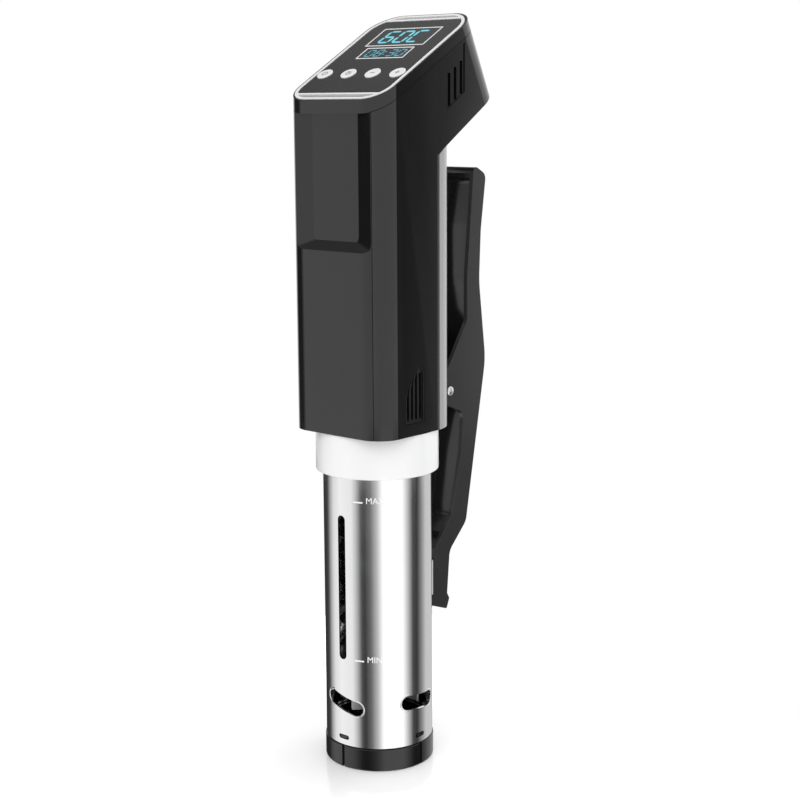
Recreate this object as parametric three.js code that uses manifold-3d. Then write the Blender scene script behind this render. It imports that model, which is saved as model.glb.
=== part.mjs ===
// Sous vide circulator: a steel skirt tube under a black control housing with a spring clip behind it.
// Millimetres, +Z up, the front faces -Y, the clip is at +Y, and the origin is the middle of the base.

import * as THREE from 'three';
import { mergeVertices } from 'three/addons/utils/BufferGeometryUtils.js';
import Module from 'manifold-3d';

const wasm = await Module();
wasm.setup();

// ---------------------------------------------------------------- driving dimensions
const gap = 0.3;                    // clearance between pieces that meet
const quarterTurns = [0, 90, 180, 270];

// Skirt tube and base cap
const tubeRadius = 29;
const tubeWall = 1;
const capHeight = 12.2;
const capOverhang = 0.5;            // how far the cap stands out past the tube
const capFloor = 2.5;
const capWall = 2;
const spigotHeight = 8;             // part of the cap that goes up inside the tube
const windowHeight = 36;            // height of the middle of the outlet windows
const windowLength = 24;
const windowWidth = 8;
const windowSlants = [14, 5, 14, 5];  // degrees, left end up, one for each quarter turn
const snapHeight = 17;
const snapLength = 7;
const snapWidth = 2.5;
const levelSlotWidth = 5;
const levelSlotBottom = 60.7;
const levelSlotTop = 139.6;

// Collar and seal plug
const collarBottom = 160.6;
const collarTop = 182.8;
const collarWall = 3.4;
const collarFlange = 2.8;
const plugBottom = 167;
const plugThickness = 5;
const neckRadius = 23;
const neckWall = 6;

// Housing
const housingBottom = 183.1;
const housingFront = -33.5;
const housingRear = 33;
const housingHalfWidth = 33;
const frontRadius = 13.5;
const rearRadius = 23;
const wall = 2.2;
const floorThickness = 2.5;
const floorHoleRadius = 15;
const coverHalfWidth = 25.8;
const rearCoverStart = 12.2;
const lipThickness = 1.4;
const lipReach = 2;
const rearRim = 0.65;               // rim of the head that the rear cover's top edge meets

// Head: the panel, its lid and the overhang at the back
const panelHeight = 371.7;          // height of the panel plane above the tube's axis
const panelAngle = Math.atan(0.56);
const lidDepth = 6.7;
const lidThickness = 3.8;
const headTopRear = 44.5;
const headRear = 63;
const headTipHeight = 358.1;
const headRearRadius = 16;
const undersideSlope = 0.63;
const tipRadius = 3;

// Scoop in the upper front
const scoopBottom = 278;
const scoopDepth = 3.5;
const scoopHalfWidth = 15.4;
const scoopSide = 16.5;               // width of each sloping side
const scoopLedge = 5;               // height of the sloping bottom
const scoopCorner = 4;

// Panel, in its own plane: u across, v up the slope, w out of it
const pocketDepth = 1.5;
const trimHalfWidth = 31.8;
const trimFront = -37.4;
const trimRear = 50;
const trimFrontRadius = 13;
const trimRearRadius = 16;
const trimWidth = 1.7;
const trimProud = 0.25;
const crossbarFront = -32.2;
const crossbarRear = 45.3;
const crossbarWidth = 1.4;
const largeWindow = { halfWidth: 19.5, from: 17.6, to: 36.1 };
const smallWindow = { halfWidth: 15.75, from: 4.2, to: 15.1 };
const buttonRadius = 4.4;
const buttonPitch = 16.4;
const buttonCount = 4;
const buttonRow = -11.8;
const buttonProud = 0.6;
const boardDepth = 8.4;             // top of the display board below the panel
const boardThickness = 1.6;

// Side openings
const ventPitch = 4.85;
const ventFirst = 20.6;
const ventBottom = 349.6;
const ventWidth = 2.2;
const ventLength = 16.3;
const ventCount = 3;
const ventRecess = 0.6;
const grilleFront = -15.4;
const grilleRear = -0.2;
const grilleBottom = 189.6;
const grilleTop = 218.8;
const grilleSlotWidth = 1.6;
const grilleSlots = 4;

// Clip
const pinSetback = 12.8;            // pin behind the housing
const pinHeight = 196.6;
const pinRadius = 2;
const pinHeadRadius = 2.6;
const leverHalfWidth = 12.75;
const leverWall = 2.5;
const footClearance = 0.5;
const bracketHalfWidth = 9;
const earThickness = 2.6;
const springWire = 0.8;
const springRadius = 3.6;
const springTurns = 4;

// Drive
const shaftRadius = 2.4;
const impellerRadius = 22;
const impellerHeight = 11.5;
const motorRadius = neckRadius - 6.5;
const motorBottom = 190.3;
const motorLength = 36;
const mountRadius = neckRadius + 1;
const fanRadius = 15;
const fanBottom = 234;
const couplingRadius = 5;

// Heater and probes
const coilRadius = neckRadius - 4.5;
const coilWire = 2.6;
const coilBottom = 60;
const coilTop = 138;
const coilTurns = 6;
const returnLegRadius = 9.5;
const probeCircle = 23.2;

// ---------------------------------------------------------------- materials
const colours = {
  blackGloss: [0x141414, 0.25, 0],
  blackMatte: [0x1c1c1d, 0.6, 0],
  greyGloss: [0x77787a, 0.3, 0.2],
  whiteGloss: [0xf2f2f2, 0.25, 0],
  steel: [0xc8cacc, 0.25, 1],
  darkSteel: [0x8a8d90, 0.4, 1],
  panelGrey: [0x2e2f31, 0.3, 0],
  displayBlack: [0x0b1114, 0.15, 0],
  boardGreen: [0x1f5a38, 0.6, 0],
  rubber: [0x202020, 0.85, 0],
  brass: [0xb8923c, 0.35, 1],
  copper: [0x9c5a34, 0.4, 1],
  pump: [0xb9bbbd, 0.5, 0],
};
const materials = {};
for (const [name, [color, roughness, metalness]] of Object.entries(colours)) {
  materials[name] = new THREE.MeshStandardMaterial({ color, roughness, metalness });
}

// ---------------------------------------------------------------- solids and shapes
function toSolid(geometry) {
  geometry.deleteAttribute('normal');
  geometry.deleteAttribute('uv');
  const merged = mergeVertices(geometry, 1e-4);
  const index = merged.index.array;
  const triangles = [];
  for (let i = 0; i < index.length; i += 3) {
    const corners = [index[i], index[i + 1], index[i + 2]];
    if (new Set(corners).size === 3) triangles.push(...corners);
  }
  const vertProperties = merged.attributes.position.array;
  const triVerts = new Uint32Array(triangles);
  return new wasm.Manifold(new wasm.Mesh({ numProp: 3, vertProperties, triVerts }));
}

function toGeometry(solid) {
  const mesh = solid.getMesh();
  const geometry = new THREE.BufferGeometry();
  geometry.setAttribute('position', new THREE.BufferAttribute(mesh.vertProperties, 3));
  geometry.setIndex(new THREE.BufferAttribute(mesh.triVerts, 1));
  geometry.computeVertexNormals();
  return geometry;
}

function join(...solids) {
  return solids.reduce((sum, solid) => sum.add(solid));
}

function extrude(shape, depth, curveSegments) {
  return new THREE.ExtrudeGeometry(shape, { depth, bevelEnabled: false, curveSegments });
}

// A shape drawn in X and Y, raised along Z.
function alongZ(shape, from, to, curveSegments = 3) {
  return toSolid(extrude(shape, to - from, curveSegments).translate(0, 0, from));
}

// A shape drawn in Y and Z, raised along X.
const sideways = new THREE.Matrix4().makeBasis(
  new THREE.Vector3(0, 1, 0),
  new THREE.Vector3(0, 0, 1),
  new THREE.Vector3(1, 0, 0),
);
function alongX(shape, from, to, curveSegments = 3) {
  return toSolid(extrude(shape, to - from, curveSegments).translate(0, 0, from).applyMatrix4(sideways));
}

// A shape drawn in X and Z, raised along Y.
const upright = new THREE.Matrix4().makeBasis(
  new THREE.Vector3(1, 0, 0),
  new THREE.Vector3(0, 0, 1),
  new THREE.Vector3(0, -1, 0),
);
function alongY(shape, from, to, curveSegments = 3) {
  return toSolid(extrude(shape, to - from, curveSegments).applyMatrix4(upright).translate(0, to, 0));
}

function box(x, y, z) {
  const size = [x, y, z].map(([from, to]) => to - from);
  const middle = [x, y, z].map(([from, to]) => (from + to) / 2);
  return toSolid(new THREE.BoxGeometry(...size).translate(...middle));
}

// A turned solid: the profile lists [radius, height] and runs up its outer side.
function turned(profile, segments = 36) {
  const points = profile.map(([radius, height]) => new THREE.Vector2(radius, height));
  return toSolid(new THREE.LatheGeometry(points, segments).rotateX(Math.PI / 2));
}

function disc(radius, from, to, segments = 24) {
  return turned([[0, from], [radius, from], [radius, to], [0, to]], segments);
}

function ring(inner, outer, from, to, segments = 16) {
  return turned([[inner, from], [outer, from], [outer, to], [inner, to], [inner, from]], segments);
}

function circle(radius, x = 0, y = 0) {
  return new THREE.Shape().absarc(x, y, radius, 0, 2 * Math.PI);
}

function polygon(points) {
  return new THREE.Shape(points.map(([x, y]) => new THREE.Vector2(x, y)));
}

// A closed outline of [x, y, corner radius] points.
function rounded(corners) {
  const shape = new THREE.Shape();
  corners.forEach(([x, y, radius = 0], i) => {
    const corner = new THREE.Vector2(x, y);
    const before = new THREE.Vector2(...corners.at(i - 1)).sub(corner).normalize();
    const after = new THREE.Vector2(...corners[(i + 1) % corners.length]).sub(corner).normalize();
    if (radius === 0) {
      if (i === 0) shape.moveTo(x, y);
      else shape.lineTo(x, y);
      return;
    }
    const half = Math.acos(before.dot(after)) / 2;
    const centre = before.clone().add(after).normalize().multiplyScalar(radius / Math.sin(half)).add(corner);
    const start = before.clone().multiplyScalar(radius / Math.tan(half)).add(corner);
    const end = after.clone().multiplyScalar(radius / Math.tan(half)).add(corner);
    if (i > 0) shape.lineTo(start.x, start.y);
    const startAngle = start.sub(centre).angle();
    const endAngle = end.sub(centre).angle();
    shape.absarc(centre.x, centre.y, radius, startAngle, endAngle, before.cross(after) > 0);
  });
  return shape;
}

// A slot with round ends, drawn about the origin with its length along x.
function slotShape(length, width) {
  const reach = (length - width) / 2;
  const shape = new THREE.Shape();
  shape.absarc(reach, 0, width / 2, -Math.PI / 2, Math.PI / 2);
  shape.absarc(-reach, 0, width / 2, Math.PI / 2, 1.5 * Math.PI);
  return shape;
}

function planShape(front, rear, halfWidth, radiusFront, radiusRear) {
  return rounded([
    [-halfWidth, front, radiusFront],
    [halfWidth, front, radiusFront],
    [halfWidth, rear, radiusRear],
    [-halfWidth, rear, radiusRear],
  ]);
}

// Each edge of a convex outline moved inwards by its own distance.
function insetOutline(points, distances) {
  const edges = points.map((point, i) => {
    const from = new THREE.Vector2(...point);
    const direction = new THREE.Vector2(...points[(i + 1) % points.length]).sub(from).normalize();
    const inward = new THREE.Vector2(-direction.y, direction.x);
    return { from: from.addScaledVector(inward, distances[i]), direction };
  });
  return edges.map((edge, i) => {
    const previous = edges.at(i - 1);
    const offset = edge.from.clone().sub(previous.from);
    const along = offset.cross(edge.direction) / previous.direction.cross(edge.direction);
    return previous.from.clone().addScaledVector(previous.direction, along).toArray();
  });
}

function pipe(curve, radius, steps, sides = 8) {
  const section = polygon(Array.from({ length: sides }, (_, i) => {
    const angle = 2 * Math.PI * i / sides;
    return [radius * Math.cos(angle), radius * Math.sin(angle)];
  }));
  return toSolid(new THREE.ExtrudeGeometry(section, { steps, extrudePath: curve, bevelEnabled: false }));
}

function rotated(solid, degrees) {
  return solid.rotate([0, 0, degrees]);
}

function polar(radius, degrees, height) {
  const angle = THREE.MathUtils.degToRad(degrees);
  return new THREE.Vector3(radius * Math.cos(angle), radius * Math.sin(angle), height);
}

// A screw with its head's underside at the origin and its shank pointing down -Z.
function screw(headRadius, headHeight, shankRadius, shankLength) {
  const profile = [[0, -shankLength], [shankRadius, -shankLength], [shankRadius, 0]];
  profile.push([headRadius, 0], [headRadius, headHeight], [0, headHeight]);
  return turned(profile, 6);
}

const circulator = new THREE.Group();
circulator.name = 'sous_vide_circulator';

function add(name, solid, material, parent = circulator) {
  const mesh = new THREE.Mesh(toGeometry(solid), material);
  mesh.name = name;
  parent.add(mesh);
  return mesh;
}

// The panel's own frame, used by everything that lies on or under it.
const panelMatrix = new THREE.Matrix4().makeRotationX(panelAngle).setPosition(0, 0, panelHeight);
const panel = new THREE.Group();
panel.rotation.x = panelAngle;
panel.position.z = panelHeight;
circulator.add(panel);

function onPanel(shape, from, to, curveSegments = 3) {
  return toSolid(extrude(shape, to - from, curveSegments).translate(0, 0, from).applyMatrix4(panelMatrix));
}

// ---------------------------------------------------------------- skirt tube and base cap
const tubeInner = tubeRadius - tubeWall;
const tubeBottom = capHeight + gap;
const tubeTop = collarTop - collarFlange - gap;

function radialSlot(shape, height, turn, slant = 0) {
  const cutter = alongY(shape, -tubeRadius - 5, -tubeInner + 6, 2).rotate([0, slant, 0]);
  return rotated(cutter.translate([0, 0, height]), turn);
}

function skirtTube() {
  let tube = ring(tubeInner, tubeRadius, tubeBottom, tubeTop, 44);
  quarterTurns.forEach((turn, i) => {
    const outlet = slotShape(windowLength, windowWidth);
    tube = tube.subtract(radialSlot(outlet, windowHeight, turn, windowSlants[i]));
    tube = tube.subtract(radialSlot(slotShape(snapLength, snapWidth), snapHeight, turn));
  });
  const slotLength = levelSlotTop - levelSlotBottom;
  const levelSlot = alongY(slotShape(slotLength, levelSlotWidth), -tubeRadius - 5, 0).rotate([0, 90, 0]);
  return tube.subtract(levelSlot.translate([0, 0, levelSlotBottom + slotLength / 2]));
}

function baseCap() {
  const outer = tubeRadius + capOverhang;
  const spigot = tubeInner - gap;
  const inner = spigot - capWall;
  const spigotTop = tubeBottom + spigotHeight;
  const profile = [
    [0, 0], [outer - 0.6, 0], [outer, 0.6], [outer, capHeight - 0.4], [outer - 0.4, capHeight],
    [spigot, capHeight], [spigot, spigotTop], [inner, spigotTop],
    [inner, capFloor], [0, capFloor],
  ];
  const bearingSeat = ring(bushingRadius + gap, bushingRadius + 2.3, capFloor - 0.5, bushingTop, 16);
  let cap = turned(profile, 36).add(bearingSeat);
  for (const turn of quarterTurns) {
    const tongue = box([-snapLength / 2 + 1, snapLength / 2 - 1], [-tubeRadius + 0.1, -inner], [-0.7, 0.7]);
    const groove = box([-1, 1], [-outer - 1, -outer + 1], [-1, capHeight + 1]);
    const inlet = inletSlot(inletCircle).rotate([0, 0, 45]);
    cap = cap.add(rotated(tongue.translate([0, 0, snapHeight]), turn));
    cap = cap.subtract(rotated(groove, turn)).subtract(rotated(inlet, turn));
  }
  return cap;
}

// Water inlet in the cap's floor: a curved slot centred on a circle about the shaft.
const inletCircle = 16;
const inletWidth = 5;
const inletSpan = 56;
function inletSlot(radius) {
  const half = THREE.MathUtils.degToRad(inletSpan / 2);
  const shape = new THREE.Shape();
  shape.absarc(0, 0, radius + inletWidth / 2, -half, half);
  shape.absarc(0, 0, radius - inletWidth / 2, half, -half, true);
  return alongZ(shape, -1, capFloor + 1);
}

const bushingRadius = 4;
const bushingTop = 12;
const bushingBore = shaftRadius + gap;

add('base_cap', baseCap(), materials.blackMatte);
add('lower_bushing', ring(bushingBore, bushingRadius, capFloor + gap, bushingTop), materials.brass);
add('skirt_tube', skirtTube(), materials.steel);

// ---------------------------------------------------------------- collar and seal plug
const collarInner = tubeRadius + gap;
const collarOuter = collarInner + collarWall;
const flangeInner = neckRadius + gap;
const collarScrewCircle = (flangeInner + tubeInner) / 2;
const collarScrewAngles = [45, 135, 225, 315];
const plugScrewCircle = neckRadius - 2.4;
const plugScrewAngles = [30, 150, 270];
const screwHole = 1.5;
const screwShank = 1.2;

function holesAt(circleRadius, angles, radius, from, to, sides = 6) {
  return join(...angles.map((angle) => {
    const { x, y } = polar(circleRadius, angle, 0);
    return disc(radius, from, to, sides).translate([x, y, 0]);
  }));
}

function collar() {
  const profile = [
    [collarInner, collarBottom], [collarOuter - 0.8, collarBottom], [collarOuter, collarBottom + 0.8],
    [collarOuter, collarTop], [flangeInner, collarTop], [flangeInner, collarTop - collarFlange],
    [collarInner, collarTop - collarFlange], [collarInner, collarBottom],
  ];
  const holes = holesAt(collarScrewCircle, collarScrewAngles, screwHole, collarTop - 5, collarTop + 1);
  return turned(profile, 36).subtract(holes);
}

const plugTop = plugBottom + plugThickness;
const ringSection = 0.9;
const ringCircle = tubeInner - gap - ringSection;
const grooveHalf = ringSection + gap;
const grooveFloor = ringCircle - grooveHalf;
const heaterLegs = { hot: [returnLegRadius, 60], cold: [coilRadius, 60] };
const probes = [
  { name: 'temperature_probe', angle: 110, radius: 1.6, bottom: 62 },
  { name: 'level_probe_low', angle: 70, radius: 1.1, bottom: 66 },
  { name: 'level_probe_high', angle: 90, radius: 1.1, bottom: 138 },
];

function sealPlug() {
  const rim = tubeInner - gap;
  const middle = (plugBottom + plugTop) / 2;
  const profile = [
    [0, plugBottom], [rim, plugBottom], [rim, middle - grooveHalf], [grooveFloor, middle - grooveHalf],
    [grooveFloor, middle + grooveHalf], [rim, middle + grooveHalf], [rim, plugTop], [neckRadius, plugTop],
    [neckRadius, collarTop], [neckRadius - neckWall, collarTop], [neckRadius - neckWall, plugTop],
    [0, plugTop],
  ];
  let plug = turned(profile, 24);
  plug = plug.subtract(holesAt(plugScrewCircle, plugScrewAngles, screwHole, plugTop + 1, collarTop + 1));
  for (const [radius, angle] of Object.values(heaterLegs)) {
    plug = plug.subtract(holesAt(radius, [angle], coilWire + gap, plugBottom - 1, collarTop + 1, 10));
  }
  for (const { angle, radius } of probes) {
    plug = plug.subtract(holesAt(probeCircle, [angle], radius + gap, plugBottom - 1, plugTop + 1, 8));
  }
  return plug.subtract(disc(bushingRadius + gap, plugBottom - 1, plugTop + 1, 16));
}

function sealRing() {
  const sides = 6;
  const profile = Array.from({ length: sides + 1 }, (_, i) => {
    const angle = 2 * Math.PI * (i % sides) / sides;
    const height = (plugBottom + plugTop) / 2 + ringSection * Math.sin(angle);
    return [ringCircle + ringSection * Math.cos(angle), height];
  });
  return turned(profile, 24);
}

add('collar', collar(), materials.whiteGloss);
add('seal_plug', sealPlug(), materials.blackMatte);
add('seal_ring', sealRing(), materials.rubber);
add('upper_bushing', ring(bushingBore, bushingRadius, plugBottom, plugTop), materials.brass);
collarScrewAngles.forEach((angle, i) => {
  const mesh = add(`collar_screw_${i + 1}`, screw(1.9, 1.6, screwShank, 4.4), materials.darkSteel);
  mesh.position.copy(polar(collarScrewCircle, angle, collarTop - collarFlange - gap));
  mesh.rotation.x = Math.PI;
});

// ---------------------------------------------------------------- housing
const panelSlope = Math.tan(panelAngle);
const headTopFront = panelHeight + panelSlope * housingFront;
const headTopBack = panelHeight + panelSlope * headTopRear;
const backSlope = (headTopBack - headTipHeight) / (headTopRear - headRear);
const headAbove = headTopBack + 10;

function undersideAt(y) {
  return headTipHeight - undersideSlope * (headRear - y);
}

// Everything under the panel plane, moved down square to it by the inset.
function underPanel(inset) {
  const height = (y) => panelHeight + panelSlope * y - inset / Math.cos(panelAngle);
  const [near, far] = [housingFront - 20, headRear + 20];
  const outline = [[near, height(near)], [near, 0], [far, 0], [far, height(far)]];
  return alongX(polygon(outline), -housingHalfWidth - 5, housingHalfWidth + 5);
}

// A block whose rounded rear corners follow the head's leaning back.
function leaningBlock(inset) {
  const plan = planShape(-150, -inset, housingHalfWidth - inset, 0, headRearRadius - inset);
  const lean = THREE.MathUtils.radToDeg(Math.atan(-1 / backSlope));
  return alongZ(plan, -100, 100, 4).rotate([lean, 0, 0]).translate([0, headRear, headTipHeight]);
}

// The housing's outer shape, or that shape with every wall moved inwards.
function housing(inset, bottom, topInset = inset) {
  const halfWidth = housingHalfWidth - inset;
  const plan = planShape(
    housingFront + inset, housingRear - inset, halfWidth, frontRadius - inset, rearRadius - inset,
  );
  const backAbove = headRear + (headAbove - headTipHeight) / backSlope;
  const outline = [[0, undersideAt(0)], [headRear, headTipHeight], [backAbove, headAbove], [0, headAbove]];
  const [front, tip, back, top] = insetOutline(outline, [inset, inset, 0, 0]);
  const profile = rounded([front, [...tip, Math.max(tipRadius - inset, 0.5)], back, top]);
  const head = alongX(profile, -halfWidth, halfWidth).intersect(leaningBlock(inset));
  return alongZ(plan, bottom, headAbove, 4).add(head).intersect(underPanel(topInset));
}

const below = housingBottom - 5;
const floorTop = housingBottom + floorThickness;
const outside = housing(0, housingBottom);
const cavity = housing(wall, floorTop, lidThickness);
const throughCavity = housing(wall, below, lidThickness);
const core = housing(wall + gap, below, lidThickness);
const lipOuter = housing(wall - gap, below, lidThickness);
const lipInner = housing(wall + gap + lipThickness, below, lidThickness);

// Regions, each grown or shrunk by the clearance it is given.
function aboveSeam(clearance) {
  const height = (y) => headTopFront - lidDepth + clearance + panelSlope * (y - housingFront);
  const [near, far] = [housingFront - 20, headRear + 20];
  const outline = [
    [near, height(near)], [far, height(far)], [far, height(far) + 100], [near, height(near) + 100],
  ];
  return alongX(polygon(outline), -housingHalfWidth - 5, housingHalfWidth + 5);
}

function frontRegion(clearance) {
  const half = coverHalfWidth + clearance;
  return box([-half, half], [housingFront - 5, housingFront + 8], [below, headTopFront + 20]);
}

function rearRegion(clearance, reach = 0) {
  const start = rearCoverStart - clearance - reach;
  const top = (y) => undersideAt(y) - rearRim + clearance;
  return alongX(polygon([
    [start, below], [housingRear + 5, below], [housingRear + 5, top(housingRear + 5)], [start, top(start)],
  ]), -housingHalfWidth - 5, housingHalfWidth + 5);
}

function ventCutters() {
  const cutters = [];
  for (let i = 0; i < ventCount; i += 1) {
    const y = ventFirst + i * ventPitch;
    const bottom = ventBottom + i * ventPitch * undersideSlope;
    const reach = housingHalfWidth + 5;
    cutters.push(box([-reach, reach], [y - ventWidth / 2, y + ventWidth / 2], [bottom, bottom + ventLength]));
  }
  return join(...cutters);
}

function ventRecesses() {
  const from = ventFirst - 2.2;
  const to = ventFirst + (ventCount - 1) * ventPitch + 2.4;
  const low = (y) => ventBottom - 2 + undersideSlope * (y - from);
  const high = (y) => low(y) + ventLength + 8.5;
  const outline = polygon([[from, low(from)], [to, low(to)], [to, high(to)], [from, high(from)]]);
  const right = alongX(outline, housingHalfWidth - ventRecess, housingHalfWidth + 5);
  const left = alongX(outline, -housingHalfWidth - 5, -housingHalfWidth + ventRecess);
  return right.add(left);
}

function grilleOutline(inset) {
  const shoulder = grilleTop - 14.4;
  const outline = [
    [grilleFront, grilleBottom], [grilleRear, grilleBottom], [grilleRear, grilleTop - 2.6],
    [grilleRear - 2.6, grilleTop], [grilleFront + 10.7, grilleTop], [grilleFront, shoulder],
  ];
  return polygon(insetOutline(outline, outline.map(() => inset)));
}

const boardBack = -20;
const boardHalfWidth = 29;
function cardRails() {
  const rails = [];
  for (const side of [-1, 1]) {
    for (const y of [boardBack - boardThickness - gap - 1.4, boardBack + gap]) {
      const x = [side * (boardHalfWidth - 2), side * (housingHalfWidth - 1)].sort((a, b) => a - b);
      rails.push(box(x, [y, y + 1.4], [floorTop - 0.5, mainBoardTop]));
    }
  }
  return join(...rails).intersect(outside);
}

const mainBoardBottom = motorBottom + 4;
const mainBoardTop = 332;
const glandHeight = 371;
const glandRadius = 5;

// The gland stands square to the head's back face.
const backLean = Math.atan2(headTopBack - headTipHeight, headRear - headTopRear);
const glandY = headRear - (glandHeight - headTipHeight) / Math.tan(backLean);
const glandTilt = 90 - THREE.MathUtils.radToDeg(Math.PI / 2 - backLean);

function onHeadBack(solid) {
  return solid.rotate([-glandTilt, 0, 0]).translate([0, glandY, glandHeight]);
}

function bodyShell() {
  const skin = outside.subtract(core);
  let shell = outside.subtract(cavity).add(cardRails());
  shell = shell.subtract(aboveSeam(-gap / 2));
  shell = shell.subtract(frontRegion(gap / 2).intersect(skin)).subtract(rearRegion(gap / 2).intersect(skin));
  shell = shell.subtract(disc(floorHoleRadius, below, floorTop + 1, 32));
  shell = shell.subtract(holesAt(plugScrewCircle, plugScrewAngles, screwHole, below, floorTop + 1));
  shell = shell.subtract(holesAt(collarScrewCircle, collarScrewAngles, screwHole, below, floorTop + 1));
  shell = shell.subtract(ventRecesses()).subtract(ventCutters());
  shell = shell.subtract(alongX(grilleOutline(0), -housingHalfWidth - 5, housingHalfWidth + 5));
  return shell.subtract(onHeadBack(disc(glandRadius + gap, -6, 4, 16)));
}

// The scoop's cutter narrows from its mouth on the front face to its flat back.
function scoopCutter(depthFrom, depthTo) {
  const top = headTopFront + 10;
  const section = (depth) => {
    const share = depth / scoopDepth;
    return [scoopHalfWidth + scoopSide * (1 - share), scoopBottom + scoopLedge * share];
  };
  const outline = ([half, bottom]) => rounded([
    [-half, top], [-half, bottom, scoopCorner], [half, bottom, scoopCorner], [half, top],
  ]).getPoints(4);
  const [near, far] = [depthFrom, depthTo].map((depth) => outline(section(depth)));
  return loftY(near, housingFront + depthFrom, far, housingFront + depthTo);
}

// A closed solid between two outlines in X and Z with the same number of points, at two places along Y.
function loftY(near, nearY, far, farY) {
  const count = near.length;
  const positions = [...near.map((p) => [p.x, nearY, p.y]), ...far.map((p) => [p.x, farY, p.y])];
  const index = [];
  for (let i = 0; i < count; i += 1) {
    const next = (i + 1) % count;
    index.push(i, count + next, next, i, count + i, count + next);
  }
  for (const [a, b, c] of THREE.ShapeUtils.triangulateShape(near, [])) {
    index.push(a, b, c);
    index.push(count + c, count + b, count + a);
  }
  const geometry = new THREE.BufferGeometry();
  geometry.setAttribute('position', new THREE.Float32BufferAttribute(positions.flat(), 3));
  geometry.setIndex(index);
  return toSolid(geometry);
}

function frontCover() {
  const skin = outside.subtract(throughCavity).intersect(frontRegion(-gap / 2));
  const lip = lipOuter.intersect(frontRegion(-gap / 2))
    .add(core.intersect(frontRegion(lipReach)))
    .subtract(lipInner)
    .subtract(frontRegion(-lipReach * 2))
    .intersect(box([-40, 40], [-40, 0], [floorTop + gap, headTopFront - lidDepth - 4]));
  const backing = box(
    [-coverHalfWidth + gap, coverHalfWidth - gap],
    [housingFront + 1, housingFront + scoopDepth + wall],
    [scoopBottom - 4, headTopFront],
  );
  const cover = skin.add(lip).add(backing).subtract(aboveSeam(-gap / 2));
  return cover.subtract(scoopCutter(-0.5, scoopDepth));
}

const bracketScrewHeights = [pinHeight - 6, pinHeight + 6];
const bracketPlate = 3;
const bracketHalfHeight = 9.5;

function rearCover() {
  const skin = outside.subtract(throughCavity).intersect(rearRegion(-gap / 2));
  const lip = lipOuter.intersect(rearRegion(-gap / 2))
    .add(core.intersect(rearRegion(0, lipReach)))
    .subtract(lipInner)
    .subtract(rearRegion(-lipReach * 2))
    .intersect(box([-40, 40], [0, 40], [floorTop + gap, headTipHeight]));
  const bosses = join(...bracketScrewHeights.map((height) => (
    alongY(circle(3.4, 0, height), housingRear - wall - 5, housingRear - wall + 0.5, 6))));
  const holes = join(...bracketScrewHeights.map((height) => (
    alongY(circle(screwHole, 0, height), housingRear - wall - 6, housingRear + 1, 6))));
  return skin.add(lip).add(bosses).subtract(holes);
}

function sideGrille(side) {
  const inner = side * (housingHalfWidth - wall);
  const outer = side * (housingHalfWidth - 0.2);
  const [from, to] = [inner, outer].sort((a, b) => a - b);
  let grille = alongX(grilleOutline(gap), from, to);
  const pitch = (grilleRear - grilleFront - 2.4) / grilleSlots;
  for (let i = 0; i < grilleSlots; i += 1) {
    const y = grilleFront + 1.2 + pitch * (i + 0.5);
    const top = Math.min(grilleTop - 13.2 + (y - grilleFront) * 1.2, grilleTop - 3.6);
    const across = [y - grilleSlotWidth / 2, y + grilleSlotWidth / 2];
    grille = grille.subtract(box([from - 1, to + 1], across, [grilleBottom + 2, top]));
  }
  return grille;
}

add('body_shell', bodyShell(), materials.blackGloss);
add('front_cover', frontCover(), materials.blackGloss);
add('rear_cover', rearCover(), materials.greyGloss);
add('side_grille_right', sideGrille(1), materials.blackMatte);
add('side_grille_left', sideGrille(-1), materials.blackMatte);

// ---------------------------------------------------------------- lid and control panel
const buttonHole = buttonRadius + gap;
const flangeRadius = buttonHole + 0.7;
const buttonPlaces = Array.from({ length: buttonCount }, (_, i) => (i - (buttonCount - 1) / 2) * buttonPitch);
const underLid = lidThickness;
const boardPosts = [[-24, -25], [24, -25], [-24, 40], [24, 40]];

function panelRect(halfWidth, from, to, radius = 0.8) {
  return planShape(from, to, halfWidth, radius, radius);
}

function trimOutline(inset) {
  return planShape(
    trimFront + inset, trimRear - inset, trimHalfWidth - inset,
    trimFrontRadius - inset, trimRearRadius - inset,
  );
}

function windowRect({ halfWidth, from, to }, grow) {
  return panelRect(halfWidth + grow, from - grow, to + grow);
}

function topLid() {
  const lip = lipOuter.intersect(aboveSeam(gap / 2))
    .add(core.intersect(aboveSeam(-lipReach)))
    .subtract(lipInner)
    .subtract(aboveSeam(lipReach));
  let lid = outside.subtract(cavity).intersect(aboveSeam(gap / 2));
  lid = lid.add(lip.subtract(frontRegion(lipReach + 2)));
  for (const [u, v] of boardPosts) {
    lid = lid.add(onPanel(circle(3, u, v), -boardDepth + gap, -underLid + 0.5, 6));
    lid = lid.subtract(onPanel(circle(screwHole, u, v), -boardDepth - 1, -underLid + 0.2, 6));
  }
  lid = lid.subtract(onPanel(trimOutline(-gap), -pocketDepth, 5, 4));
  for (const window of [largeWindow, smallWindow]) {
    lid = lid.subtract(onPanel(windowRect(window, -1.6), -underLid - 1, 0));
  }
  for (const u of buttonPlaces) {
    lid = lid.subtract(onPanel(circle(buttonHole, u, buttonRow), -underLid - 1, 0, 8));
    lid = lid.subtract(onPanel(circle(flangeRadius + gap, u, buttonRow), -boardDepth, -underLid, 6));
  }
  return lid;
}

// Pieces below are built flat in the panel's frame and placed by the panel group.
const seatDepth = -pocketDepth + gap;

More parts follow.
